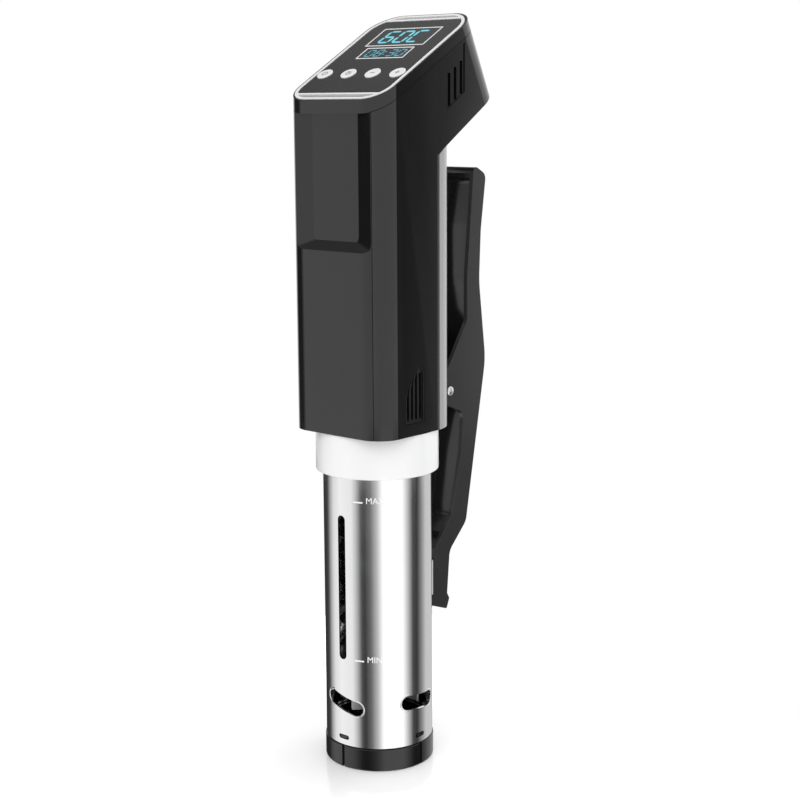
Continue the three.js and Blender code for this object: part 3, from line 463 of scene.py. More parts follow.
groups = {"grain": mouldGrainGroup(), "handling": handlingGroup(), "tone": toneGroup(),
          "lathe": latheLineGroup()}


def placeGroup(tree, name, **values):
    node = tree.nodes.new("ShaderNodeGroup")
    node.node_tree = groups[name]
    for socket, value in values.items():
        node.inputs[socket].default_value = value
    return node


# ---- finishes, one for each material slot
plastics = {
    "black_gloss": {"color": (0.0062, 0.0062, 0.0066), "rubbed": (0.05, 0.05, 0.052), "rough": (0.05, 0.09),
                    "grain": 500.0, "depth": 0.002, "drift": 0.25, "rub": 0.25},
    "black_matte": {"color": (0.0050, 0.0050, 0.0052), "rubbed": (0.02, 0.02, 0.02), "rough": (0.12, 0.20),
                    "grain": 1800.0, "depth": 0.06, "drift": 0.30, "rub": 0.35},
    "lever_black": {"color": (0.016, 0.016, 0.0164), "rubbed": (0.05, 0.05, 0.05), "rough": (0.14, 0.22),
                    "grain": 1500.0, "depth": 0.02, "drift": 0.20, "rub": 0.30},
    "grey_gloss": {"color": (0.24, 0.24, 0.243), "rubbed": (0.32, 0.32, 0.32), "rough": (0.20, 0.26),
                   "grain": 900.0, "depth": 0.004, "drift": 0.04, "rub": 0.10},
    "white_gloss": {"color": (0.74, 0.74, 0.745), "rubbed": (0.85, 0.85, 0.85), "rough": (0.10, 0.16),
                    "grain": 700.0, "depth": 0.004, "drift": 0.04, "rub": 0.2},
    "panel_grey": {"color": (0.014, 0.0142, 0.0148), "rubbed": (0.05, 0.05, 0.05), "rough": (0.18, 0.24),
                   "grain": 2600.0, "depth": 0.02, "drift": 0.18, "rub": 0.0},
    "display_glass": {"color": (0.018, 0.022, 0.025), "rubbed": (0.03, 0.03, 0.03), "rough": (0.05, 0.12),
                      "grain": 300.0, "depth": 0.002, "drift": 0.25, "rub": 0.0},
    "rubber": {"color": (0.016, 0.016, 0.016), "rubbed": (0.04, 0.04, 0.04), "rough": (0.65, 0.80),
               "grain": 1300.0, "depth": 0.15, "drift": 0.3, "rub": 0.3},
    "pump_grey": {"color": (0.46, 0.465, 0.47), "rubbed": (0.6, 0.6, 0.6), "rough": (0.35, 0.5),
                  "grain": 1200.0, "depth": 0.05, "drift": 0.12, "rub": 0.2},
}
metals = {
    "brushed_steel": {"color": (0.73, 0.73, 0.735), "rough": (0.06, 0.11), "lines": 9000.0, "depth": 0.003},
    "shaft_steel": {"color": (0.62, 0.62, 0.63), "rough": (0.18, 0.30), "lines": 7000.0, "depth": 0.03},
    "screw_steel": {"color": (0.42, 0.42, 0.43), "rough": (0.30, 0.42), "lines": 5000.0, "depth": 0.03},
    "heater_steel": {"color": (0.36, 0.35, 0.34), "rough": (0.35, 0.55), "lines": 2500.0, "depth": 0.06},
    "heat_sink_aluminium": {"color": (0.60, 0.60, 0.62), "rough": (0.30, 0.45), "lines": 3000.0,
                            "depth": 0.05},
    "brass": {"color": (0.62, 0.45, 0.16), "rough": (0.22, 0.35), "lines": 6000.0, "depth": 0.03},
    "copper_winding": {"color": (0.55, 0.22, 0.10), "rough": (0.25, 0.40), "lines": 2200.0, "depth": 0.20},
}
board = {"color": (0.012, 0.075, 0.032), "track": (0.03, 0.16, 0.07), "rough": (0.35, 0.5), "pitch": 260.0}


def newMaterial(name):
    material = bpy.data.materials.new(name)
    material.use_nodes = True
    tree = material.node_tree
    place = addNode(tree, "ShaderNodeTexCoord").outputs["Object"]
    return material, tree, tree.nodes["Principled BSDF"], place


def withAlpha(color):
    return (*color, 1.0)


def addBump(tree, shader, height, depth):
    bump = addNode(tree, "ShaderNodeBump", {"Strength": min(1.0, depth * 5), "Distance": 0.05 * mm})
    wire(tree, (height, bump.inputs["Height"]), (bump.outputs[0], shader.inputs["Normal"]))


def plasticFinish(name, look):
    material, tree, shader, place = newMaterial(name)
    tone = placeGroup(tree, "tone", Color=withAlpha(look["color"]), Rubbed=withAlpha(look["rubbed"]),
                      Drift=look["drift"], Rub=look["rub"])
    low, high = look["rough"]
    marks = placeGroup(tree, "handling", Low=low, High=high)
    grain = placeGroup(tree, "grain", Scale=look["grain"])
    for node in (tone, marks, grain):
        wire(tree, (place, node.inputs["Vector"]))
    wire(tree, (tone.outputs["Color"], shader.inputs["Base Color"]))
    feed(tree, marks, shader, "Roughness")
    addBump(tree, shader, grain.outputs["Height"], look["depth"])
    return material


def metalFinish(name, look):
    material, tree, shader, place = newMaterial(name)
    shader.inputs["Metallic"].default_value = 1.0
    pale = tuple(min(1.0, c * 1.12) for c in look["color"])
    tone = placeGroup(tree, "tone", Color=withAlpha(look["color"]), Rubbed=withAlpha(pale),
                      Drift=0.08, Rub=0.3)
    low, high = look["rough"]
    marks = placeGroup(tree, "handling", Low=low, High=high)
    lines = placeGroup(tree, "lathe", Fineness=look["lines"])
    for node in (tone, marks, lines):
        wire(tree, (place, node.inputs["Vector"]))
    wire(tree, (tone.outputs["Color"], shader.inputs["Base Color"]))
    rough = addMath(tree, "MULTIPLY_ADD", lines.outputs["Mask"], 0.04, marks.outputs["Roughness"])
    wire(tree, (rough, shader.inputs["Roughness"]))
    addBump(tree, shader, lines.outputs["Height"], look["depth"])
    return material


def boardFinish():
    material, tree, shader, place = newMaterial("circuitBoard")
    marks = placeGroup(tree, "handling", Low=board["rough"][0], High=board["rough"][1])
    tracks = addNode(tree, "ShaderNodeTexBrick", {
        "Color1": withAlpha(board["color"]), "Color2": withAlpha(board["color"]),
        "Mortar": withAlpha(board["track"]), "Scale": board["pitch"], "Mortar Size": 0.08,
    })
    turn = addNode(tree, "ShaderNodeMapping", {"Rotation": (math.radians(90), 0, 0)})
    wire(tree, (place, turn.inputs["Vector"]), (turn.outputs[0], tracks.inputs["Vector"]))
    wire(tree, (place, marks.inputs["Vector"]), (tracks.outputs["Color"], shader.inputs["Base Color"]))
    wire(tree, (marks.outputs[0], shader.inputs["Roughness"]))
    addBump(tree, shader, tracks.outputs["Fac"], 0.1)
    return material


def glowFinish(name, color, strength, drift):
    # lit segments, their brightness drifting a little at random
    material, tree, shader, place = newMaterial(name)
    noise = addNode(tree, "ShaderNodeTexNoise", {"Scale": 260.0, "Detail": 2.0})
    spread = addNode(tree, "ShaderNodeMapRange", {"To Min": 1 - drift, "To Max": 1 + drift})
    scaled = addNode(tree, "ShaderNodeVectorMath", {0: color}, operation="SCALE")
    wire(tree, (place, noise.inputs["Vector"]), (noise.outputs["Fac"], spread.inputs["Value"]))
    wire(tree, (spread.outputs[0], scaled.inputs["Scale"]))
    wire(tree, (scaled.outputs[0], shader.inputs["Emission Color"]))
    shader.inputs["Emission Strength"].default_value = strength
    shader.inputs["Base Color"].default_value = withAlpha(color)
    shader.inputs["Roughness"].default_value = 0.4
    return material


finishes = {name: plasticFinish(name, look) for name, look in plastics.items()}
finishes.update({name: metalFinish(name, look) for name, look in metals.items()})
finishes["circuit_board"] = boardFinish()
print("finishes made", len(finishes))

# each carried-over node gets the finish of its slot
for node in nodes.values():
    for place in node.material_slots:
        place.material = finishes[place.material.name]


def fit(piece, slotName, body, *replaced, finish=None):
    piece.data.materials.clear()
    piece.data.materials.append(finish or finishes[slotName])
    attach(piece, body)
    if replaced:
        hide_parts(*replaced)
    return piece


# ---- camera
camera = {"place": (0.5568, -0.6294, 0.3545), "tilt": 79.08, "turn": 41.5, "roll": -0.48,
          "lens": 72.68, "shift": (0.0289, 0.0102)}


def addCamera():
    letGo()
    bpy.ops.object.camera_add(location=camera["place"])
    viewer = bpy.context.active_object
    viewer.name = "camera"
    viewer.rotation_euler = (math.radians(camera["tilt"]), 0, math.radians(camera["turn"]))
    bpy.context.view_layer.update()
    viewer.rotation_euler.rotate_axis("Z", math.radians(camera["roll"]))
    viewer.data.sensor_width = 36
    viewer.data.lens = camera["lens"]
    viewer.data.shift_x, viewer.data.shift_y = camera["shift"]
    bpy.context.scene.camera = viewer


addCamera()

# ---- studio: bands of soft light round the object, by direction in degrees from the viewer's side
studio = {
    "viewerTurn": -48.5,
    "strength": 1.6,
    "low": [(-180, 0.02), (-142, 0.03), (-132, 0.06), (-108, 0.62), (-88, 0.74), (-58.5, 0.68),
            (-46.5, 0.36), (-37, 0.06), (-29, 0.03), (-16, 0.12), (-2, 0.42), (10, 0.90), (52, 0.90),
            (65, 0.44),
            (78, 0.05), (91, 0.03), (105, 0.20), (122, 0.46), (150, 0.44), (180, 0.30)],
    "middle": [(-180, 0.72), (-150, 0.5), (-136, 0.02), (-104, 0.02), (-95, 0.30), (-88, 0.66), (86, 0.66),
               (89, 0.02), (97.5, 0.015), (99.5, 0.12), (101, 0.40), (103, 0.80), (180, 0.80)],
    "upper": [(-180, 0.72), (-150, 0.5), (-136, 0.02), (-76, 0.10), (-66, 0.66), (86, 0.66), (89, 0.02),
              (99.5, 0.12), (103, 0.80), (180, 0.80)],
    "high": [(-180, 0.40), (-167, 0.26), (-158, 0.10), (-120, 0.06), (-97, 0.24), (-86, 0.72), (180, 0.72)],
    "lowEdge": -12.2,
    "upperEdge": 12.0,
    "highEdge": 28.0,
}


def bandRamp(tree, turn, stops):
    ramp = tree.nodes.new("ShaderNodeValToRGB")
    elements = ramp.color_ramp.elements
    while len(elements) < len(stops):
        elements.new(1.0)
    for element, (degrees, level) in zip(elements, stops):
        element.position = degrees / 360 + 0.5
        element.color = (level, level, level, 1)
    tree.links.new(turn, ramp.inputs[0])
    return ramp.outputs[0]


def blendColors(tree, share, first, second):
    mix = tree.nodes.new("ShaderNodeMix")
    mix.data_type = "RGBA"
    tree.links.new(share, mix.inputs[0])
    tree.links.new(first, mix.inputs[6])
    tree.links.new(second, mix.inputs[7])
    return mix.outputs[2]


def addStudio():
    world = bpy.data.worlds.new("studio")
    bpy.context.scene.world = world
    world.use_nodes = True
    tree = world.node_tree
    place = addNode(tree, "ShaderNodeTexCoord").outputs["Generated"]
    parts = addNode(tree, "ShaderNodeSeparateXYZ")
    wire(tree, (place, parts.inputs[0]))
    bearing = addMath(tree, "ARCTAN2", parts.outputs["Y"], parts.outputs["X"])
    offset = 0.5 - studio["viewerTurn"] / 360
    turn = addMath(tree, "FRACT", addMath(tree, "MULTIPLY_ADD", bearing, 1 / fullTurn, offset + 1))
    bands = {name: bandRamp(tree, turn, studio[name]) for name in ("low", "middle", "upper", "high")}
    rise = {}
    for name, softness in (("lowEdge", 0.5), ("upperEdge", 3.0), ("highEdge", 6.0)):
        edge = studio[name]
        step = addNode(tree, "ShaderNodeMapRange", {
            "From Min": math.sin(math.radians(edge - softness)),
            "From Max": math.sin(math.radians(edge + softness)),
        })
        wire(tree, (parts.outputs["Z"], step.inputs["Value"]))
        rise[name] = step.outputs[0]
    around = blendColors(tree, rise["lowEdge"], bands["low"], bands["middle"])
    around = blendColors(tree, rise["upperEdge"], around, bands["upper"])
    around = blendColors(tree, rise["highEdge"], around, bands["high"])
    glow = addNode(tree, "ShaderNodeBackground", {"Strength": studio["strength"]})
    backdrop = addNode(tree, "ShaderNodeBackground", {"Color": (1, 1, 1, 1), "Strength": 1.0})
    rays = addNode(tree, "ShaderNodeLightPath")
    choice = addNode(tree, "ShaderNodeMixShader")
    wire(tree, (around, glow.inputs["Color"]), (rays.outputs["Is Camera Ray"], choice.inputs[0]))
    wire(tree, (glow.outputs[0], choice.inputs[1]), (backdrop.outputs[0], choice.inputs[2]))
    output = tree.nodes.get("World Output") or tree.nodes.new("ShaderNodeOutputWorld")
    wire(tree, (choice.outputs[0], output.inputs["Surface"]))


def addSoftbox(name, place, size, power):
    letGo()
    bpy.ops.object.light_add(type="AREA", location=place)
    lamp = bpy.context.active_object
    lamp.name = name
    lamp.data.size = size
    lamp.data.energy = power
    lamp.rotation_euler = (Vector((0, 0, 0.2)) - Vector(place)).to_track_quat("-Z", "Y").to_euler()
    lamp.visible_glossy = False


floorLook = {"radius": 0.24, "color": (0.80, 0.80, 0.80), "rough": 0.12, "glow": (0.12, 0.75)}


def addFloor():
    letGo()
    bpy.ops.mesh.primitive_circle_add(vertices=96, radius=floorLook["radius"], fill_type="NGON",
                                      location=(0, 0, -0.05 * mm))
    ground = settle(bpy.context.active_object)
    ground.name = "floor"
    material, tree, shader, place = newMaterial("paleFloor")
    noise = addNode(tree, "ShaderNodeTexNoise", {"Scale": 40.0, "Detail": 3.0})
    rough = floorLook["rough"]
    spread = addNode(tree, "ShaderNodeMapRange", {"To Min": rough * 0.9, "To Max": rough * 1.1})
    wire(tree, (place, noise.inputs["Vector"]), (noise.outputs["Fac"], spread.inputs["Value"]))
    wire(tree, (spread.outputs[0], shader.inputs["Roughness"]))
    shader.inputs["Base Color"].default_value = withAlpha(floorLook["color"])
    # painted light: the floor glows white, faintly under the object and strongly towards its rim, so it reads
    # white round the object
    shader.inputs["Emission Color"].default_value = (1, 1, 1, 1)
    distance = addNode(tree, "ShaderNodeVectorMath", operation="LENGTH")
    low, high = floorLook["glow"]
    limits = {"From Min": 0.05, "From Max": 0.13, "To Min": low, "To Max": high}
    rise = addNode(tree, "ShaderNodeMapRange", limits, interpolation_type="SMOOTHSTEP")
    wire(tree, (place, distance.inputs[0]), (distance.outputs["Value"], rise.inputs["Value"]))
    wire(tree, (rise.outputs[0], shader.inputs["Emission Strength"]))
    ground.data.materials.append(material)
    ground.visible_glossy = False


addStudio()
addSoftbox("keyLight", (0.5, -0.9, 0.9), 0.7, 4.0)
addSoftbox("fillLight", (-0.9, -0.3, 0.6), 0.9, 3.0)
addSoftbox("backLight", (0.5, 0.9, 0.7), 0.8, 3.0)
addFloor()
bpy.context.scene.view_settings.view_transform = "Standard"
print("camera, lights and floor made")

# ---- skirt tube
tube = {"wall": 1 * mm, "rows": 26, "segments": 192,
        "windowHeight": 36 * mm, "windowLength": 24 * mm, "windowWidth": 8 * mm,
        "slants": {0: 14, 90: 5, 180: 14, 270: 5},
        "snapHeight": 17 * mm, "snapLength": 7 * mm, "snapWidth": 2.5 * mm,
        "slotBottom": 60.7 * mm, "slotTop": 139.6 * mm, "slotWidth": 5 * mm, "edge": 0.25 * mm,
        "lipRadius": 0.5 * mm, "lipSunk": 0.22 * mm}
tubeRadius = tubeHigh.x


def leaning(outline, degrees):
    # a slot's outline turned in its own plane, left end up
    turn = math.radians(degrees)
    cos, sin = math.cos(turn), math.sin(turn)
    return [(a * cos + b * sin, b * cos - a * sin) for a, b in outline]


def slotCutter(name, length, width, height, degrees, slant=0):
    outline = leaning(slotOutline(length, width), slant)
    outline = [(across, up + height) for across, up in outline]
    cutter = prism(name, outline, "Y", -tubeRadius - 8 * mm, -tubeRadius + 6 * mm)
    return turnedRound(cutter, degrees)


def makeTube():
    inner = tubeRadius - tube["wall"]
    low, high, edge = tubeLow.z, tubeHigh.z, tube["edge"]
    rows = [low + edge + (high - low - 2 * edge) * k / tube["rows"] for k in range(tube["rows"] + 1)]
    profile = [(inner + edge, low), (tubeRadius - edge, low)]
    profile += [(tubeRadius, height) for height in rows]
    profile += [(tubeRadius - edge, high), (inner + edge, high)]
    profile += [(inner, height) for height in reversed(rows)]
    profile.append(profile[0])
    piece = turned("skirtTube", profile, tube["segments"])
    for degrees, slant in tube["slants"].items():
        for kind, lean in (("window", slant), ("snap", 0)):
            length, width, height = (tube[kind + size] for size in ("Length", "Width", "Height"))
            cutAway(piece, slotCutter(kind, length, width, height, degrees, lean))
    slotLength = tube["slotTop"] - tube["slotBottom"]
    middle = (tube["slotTop"] + tube["slotBottom"]) / 2
    cutAway(piece, slotCutter("level", slotLength, tube["slotWidth"], middle, 0, slant=90))
    smooth(piece, 30, weighted=False)
    roundNormals(piece)
    return fit(piece, "brushed_steel", "housing", "skirt_tube")


def rolledLip(degrees, slant):
    # the pressed edge round an opening, laid on the tube just outside it
    grow = 2 * tube["lipRadius"]
    outline = leaning(slotOutline(tube["windowLength"] + grow, tube["windowWidth"] + grow, 20), slant)
    radius = tubeRadius - tube["lipSunk"]
    points = []
    for across, up in outline:
        depth = math.sqrt(radius ** 2 - across ** 2)
        points.append((across, -depth, up + tube["windowHeight"]))
    return turnedRound(rod("outletLip", points, tube["lipRadius"], 12, cyclic=True), degrees)


def makeLips():
    lips = [rolledLip(degrees, slant) for degrees, slant in tube["slants"].items()]
    piece = smooth(joinAll(lips, "outletLips"), 60, weighted=False)
    return fit(piece, "brushed_steel", "housing")


makeTube()
makeLips()
print("tube made")

# ---- level marks on the tube
marks = {"heights": [("MAX", 147.8 * mm), ("MIN", 61.4 * mm)], "dashFrom": 7.8 * mm, "dashTo": 13.0 * mm,
         "dashWidth": 0.8 * mm, "letter": 4.6 * mm, "wordFrom": 14.6 * mm, "wordRise": 1.1 * mm,
         "letterMiddle": 0.34, "thickness": 0.04 * mm}


def wrapOnTube(piece):
    # flat work in X and Z is laid round the tube
    for vertex in piece.data.vertices:
        turn = vertex.co.x / tubeRadius
        radius = tubeRadius - vertex.co.y
        vertex.co = (radius * math.sin(turn), -radius * math.cos(turn), vertex.co.z)
    return piece


def addWord(word, size, place, thickness):
    letGo()
    bpy.ops.object.text_add(location=place)
    text = bpy.context.active_object
    text.data.body = word
    text.data.size = size
    text.data.extrude = thickness
    text.rotation_euler.x = math.radians(90)
    bpy.ops.object.convert(target="MESH")
    return settle(text)


def makeMarks():
    pieces = []
    for word, height in marks["heights"]:
        half = marks["dashWidth"] / 2
        outline = [(marks["dashFrom"], height - half), (marks["dashTo"], height - half),
                   (marks["dashTo"], height + half), (marks["dashFrom"], height + half)]
        dash = prism("dash", outline, "Y", -marks["thickness"], marks["thickness"])
        low = height + marks["wordRise"] - marks["letter"] * marks["letterMiddle"]
        letters = addWord(word, marks["letter"], (marks["wordFrom"], 0, low), marks["thickness"])
        pieces += [dash, letters]
    piece = joinAll(pieces, "levelMarks")
    modify(piece, "TRIANGULATE")
    openMesh(piece)
    bpy.ops.mesh.subdivide(number_cuts=1)
    return fit(wrapOnTube(closeMesh(piece)), "white_gloss", "housing")


makeMarks()
print("level marks made")

# ---- base cap
cap = {"floor": 2.5 * mm, "wall": 2 * mm, "edge": 1.1 * mm, "grooveWidth": 2 * mm, "grooveDepth": 1 * mm,
       "inletCircle": 16 * mm, "inletWidth": 5 * mm, "inletSpan": 56, "seatInner": 4.3 * mm,
       "seatOuter": 6.3 * mm,
       "seatTop": 12 * mm, "clearance": 0.3 * mm, "overhang": 0.5 * mm, "bevel": 0.4 * mm,
       "tongue": (5 * mm, 1.4 * mm)}


def arcOutline(circle, width, span, steps=16):
    half = math.radians(span / 2)
    points = []
    for side, direction in ((1, 1), (-1, -1)):
        radius = circle + side * width / 2
        for k in range(steps + 1):
            angle = direction * (-half + 2 * half * k / steps)
            points.append((radius * math.cos(angle), radius * math.sin(angle)))
    return points


def makeCap():
    outer = tubeRadius + cap["overhang"]
    top = tubeLow.z - cap["clearance"]
    spigot = tubeRadius - tube["wall"] - cap["clearance"]
    inner = spigot - cap["wall"]
    edge = cap["edge"]
    bevel, shave = cap["bevel"], cap["bevel"] * 0.3
    profile = [(0, 0), (outer - edge, 0)] + arcPoints(outer - edge, edge, edge, range(-75, 1, 15))
    profile += [(outer, top - bevel), (outer - shave, top - shave), (outer - bevel, top)]
    profile += [(spigot, top), (spigot, capHigh.z - bevel), (spigot - bevel, capHigh.z), (inner, capHigh.z)]
    profile += [(inner, cap["floor"]), (cap["seatOuter"], cap["floor"]), (cap["seatOuter"], cap["seatTop"])]
    profile += [(cap["seatInner"], cap["seatTop"]), (cap["seatInner"], cap["floor"]), (0, cap["floor"])]
    piece = turned("baseCap", profile, 128)
    for degrees in (0, 90, 180, 270):
        half = cap["grooveWidth"] / 2
        groove = addBlock("groove", (-half, -outer - 1 * mm, -1 * mm),
                          (half, -outer + cap["grooveDepth"], top + 1 * mm))
        cutAway(piece, turnedRound(groove, degrees))
        opening = arcOutline(cap["inletCircle"], cap["inletWidth"], cap["inletSpan"])
        cutAway(piece, turnedRound(prism("inlet", opening, "Z", -1 * mm, 4 * mm), degrees + 45))
        tongue = prism("tongue", slotOutline(*cap["tongue"]), "Y", -tubeRadius + 0.1 * mm, -inner)
        tongue.location.z = tube["snapHeight"]
        weld(piece, turnedRound(settle(tongue), degrees))
    return fit(smooth(piece, 35), "black_matte", "housing", "base_cap")


makeCap()

# ---- collar
collarLook = {"wall": 3.4 * mm, "flange": 2.8 * mm, "edge": 0.8 * mm, "innerEdge": 0.3 * mm,
              "neck": 23.3 * mm}


def makeCollar():
    outer, inner = collarHigh.x, collarHigh.x - collarLook["wall"]
    low, high, edge = collarLow.z, collarHigh.z, collarLook["edge"]
    innerEdge = collarLook["innerEdge"]
    profile = [(inner, low + innerEdge), (inner + innerEdge, low), (outer - edge, low)]
    profile += arcPoints(outer - edge, low + edge, edge, range(-75, 1, 15))
    profile += [(outer, high), (collarLook["neck"], high), (collarLook["neck"], high - collarLook["flange"])]
    profile += [(inner, high - collarLook["flange"]), (inner, low + innerEdge)]
    piece = turned("collar", profile, 128)
    return fit(smooth(piece, 35), "white_gloss", "housing", "collar")


makeCollar()
print("cap and collar made")

# ---- housing
housing = {"halfWidth": shellHigh.x, "front": frontY, "rear": columnRearY, "bottom": shellLow.z,
           "headRear": 63 * mm, "headTopRear": 44.5 * mm, "headTip": 358.1 * mm, "underSlope": 0.63,
           "frontRadius": 13.5 * mm, "rearRadius": 23 * mm, "headRadius": 16 * mm, "tipRadius": 3 * mm,
           "wall": 2.2 * mm, "floor": 2.5 * mm, "lid": 3.8 * mm, "seamDepth": 6.7 * mm, "gap": 0.3 * mm,
           "coverHalf": 25.8 * mm, "rearStart": 12.2 * mm, "rearRim": 0.65 * mm, "floorHole": 15 * mm,
           "spare": 20 * mm, "smooth": 14, "coverSmooth": 10}
panel = {"height": 371.7 * mm, "slope": 0.56}
panelAngle = math.atan(panel["slope"])
headTopFront = panel["height"] + panel["slope"] * housing["front"]
headTopBack = panel["height"] + panel["slope"] * housing["headTopRear"]
backLean = math.atan2(headTopBack - housing["headTip"], housing["headRear"] - housing["headTopRear"])
wellAbove = headTopBack + 12 * mm
wellBelow = housing["bottom"] - 5 * mm


def undersideAt(y):
    return housing["headTip"] - housing["underSlope"] * (housing["headRear"] - y)


def belowPanel(name, inset):
    def height(y):
        return panel["height"] + panel["slope"] * y - inset / math.cos(panelAngle)

    near, far = housing["front"] - housing["spare"], housing["headRear"] + housing["spare"]
    outline = [(near, 0), (far, 0), (far, height(far)), (near, height(near))]
    return prism(name, outline, "X", *allWidth)


def housingSolid(name, inset, bottom, topInset):
    side = housing["halfWidth"] - inset
    rear = housing["rear"] - inset
    column = addBlock(name, (-side, housing["front"] + inset, bottom), (side, rear, wellAbove))
    roundUprights(column, housing["frontRadius"] - inset, False)
    roundUprights(column, housing["rearRadius"] - inset, True)
    # the head's rear corners follow its leaning back
    tall = 100 * mm
    head = addBlock("head", (-side, -1.5 * tall, -tall), (side, -inset, tall))
    bevelWhere(head, lambda a, b: min(a.y, b.y) > -tall and abs(a.z - b.z) > tall,
               housing["headRadius"] - inset)
    head.rotation_euler.x = math.radians(90) - backLean
    head.location = (0, housing["headRear"], housing["headTip"])
    settle(head)
    backAbove = housing["headRear"] - (wellAbove + 5 * mm - housing["headTip"]) / math.tan(backLean)
    sides = [(-1 * mm, undersideAt(-1 * mm)), (housing["headRear"], housing["headTip"]),
             (backAbove, wellAbove + 5 * mm), (-1 * mm, wellAbove + 5 * mm)]
    front, tip, back, top = insetOutline(sides, [inset, inset, 0, 0])
    tipRadius = max(housing["tipRadius"] - inset, 0.5 * mm)
    outline = roundedOutline([(*front, 0), (*tip, tipRadius), (*back, 0), (*top, 0)], 8)
    keepCommon(head, prism("headSide", outline, "X", *allWidth))
    weld(column, head)
    return keepCommon(column, belowPanel("underPanel", topInset))


def aboveSeam(name, clearance):
    def height(y):
        return headTopFront - housing["seamDepth"] + clearance + panel["slope"] * (y - housing["front"])

    near, far = housing["front"] - housing["spare"], housing["headRear"] + housing["spare"]
    tall = 100 * mm
    outline = [(near, height(near)), (far, height(far))]
    outline += [(far, height(far) + tall), (near, height(near) + tall)]
    return prism(name, outline, "X", *allWidth)


def frontRegion(name, clearance):
    half = housing["coverHalf"] + clearance
    front = housing["front"]
    return addBlock(name, (-half, front - 5 * mm, wellBelow), (half, front + 8 * mm, wellAbove))


def rearRegion(name, clearance):
    start, far = housing["rearStart"] - clearance, housing["rear"] + 5 * mm
    rim = housing["rearRim"] - clearance
    outline = [(start, wellBelow), (far, wellBelow)]
    outline += [(y, undersideAt(y) - rim) for y in (far, start)]
    return prism(name, outline, "X", *allWidth)


scoop = {"bottom": 278 * mm, "depth": 3.5 * mm, "half": 15.4 * mm, "side": 16.5 * mm, "ledge": 5 * mm,
         "corner": 4 * mm, "lead": 0.5 * mm}


def scoopCutter():
    # narrows from its mouth on the front face to its flat back
    top = headTopFront + 10 * mm
    lead = scoop["lead"]
    share = lead / scoop["depth"]
    half = scoop["half"] + scoop["side"] * (1 + share)
    low = scoop["bottom"] - scoop["ledge"] * share
    corner = scoop["corner"]
    mouth = roundedOutline([(-half, top, 0), (-half, low, corner), (half, low, corner), (half, top, 0)], 8)
    front = housing["front"] - lead
    piece = drawOutline("scoop", [(across, front, up) for across, up in mouth])
    bpy.ops.mesh.extrude_region_move(TRANSFORM_OT_translate={"value": (0, lead + scoop["depth"], 0)})
    narrow = scoop["half"] / half
    lift = (top - scoop["bottom"] - scoop["ledge"]) / (top - low)
    bpy.ops.transform.resize(value=(narrow, 1, lift), center_override=(0, 0, top))
    return mendNormals(piece)


vents = {"first": 20.6 * mm, "pitch": 4.85 * mm, "bottom": 349.6 * mm, "width": 2.2 * mm,
         "length": 16.3 * mm,
         "count": 3, "recess": 0.6 * mm, "before": 2.2 * mm, "after": 2.4 * mm, "below": 2 * mm,
         "above": 6.5 * mm}
grille = {"front": -15.4 * mm, "rear": -0.2 * mm, "bottom": 189.6 * mm, "top": 218.8 * mm, "slots": 4,
          "slotWidth": 1.6 * mm, "rim": 0.7 * mm, "shoulder": 14.4 * mm, "slope": 10.7 * mm,
          "chamfer": 2.6 * mm, "sunk": 0.7 * mm, "rimSunk": 0.1 * mm, "margin": 1.2 * mm,
          "slotBelow": 2 * mm, "slotAbove": 3.6 * mm,
          "slotShoulder": 13.2 * mm, "slotRise": 1.2}
glandPlace = {"height": 371 * mm, "radius": 5 * mm}
glandY = housing["headRear"] - (glandPlace["height"] - housing["headTip"]) / math.tan(backLean)


def layOnHeadBack(piece):
    piece.rotation_euler.x = -backLean
    piece.location = (0, glandY, glandPlace["height"])
    return settle(piece)


def ventRecess(name, side):
    start = vents["first"] - vents["before"]
    end = vents["first"] + (vents["count"] - 1) * vents["pitch"] + vents["after"]

    def low(y):
        return vents["bottom"] - vents["below"] + housing["underSlope"] * (y - start)

    rise = vents["below"] + vents["length"] + vents["above"]
    outline = [(start, low(start)), (end, low(end)), (end, low(end) + rise), (start, low(start) + rise)]
    faces = sorted((side * (housing["halfWidth"] - vents["recess"]), side * (housing["halfWidth"] + 5 * mm)))
    return prism(name, outline, "X", *faces)


def grilleOutline(inset):
    front, rear, low, high = (grille[key] for key in ("front", "rear", "bottom", "top"))
    outline = [(front, low), (rear, low), (rear, high - grille["chamfer"]),
               (rear - grille["chamfer"], high),
               (front + grille["slope"], high), (front, high - grille["shoulder"])]
    return insetOutline(outline, [inset] * len(outline))


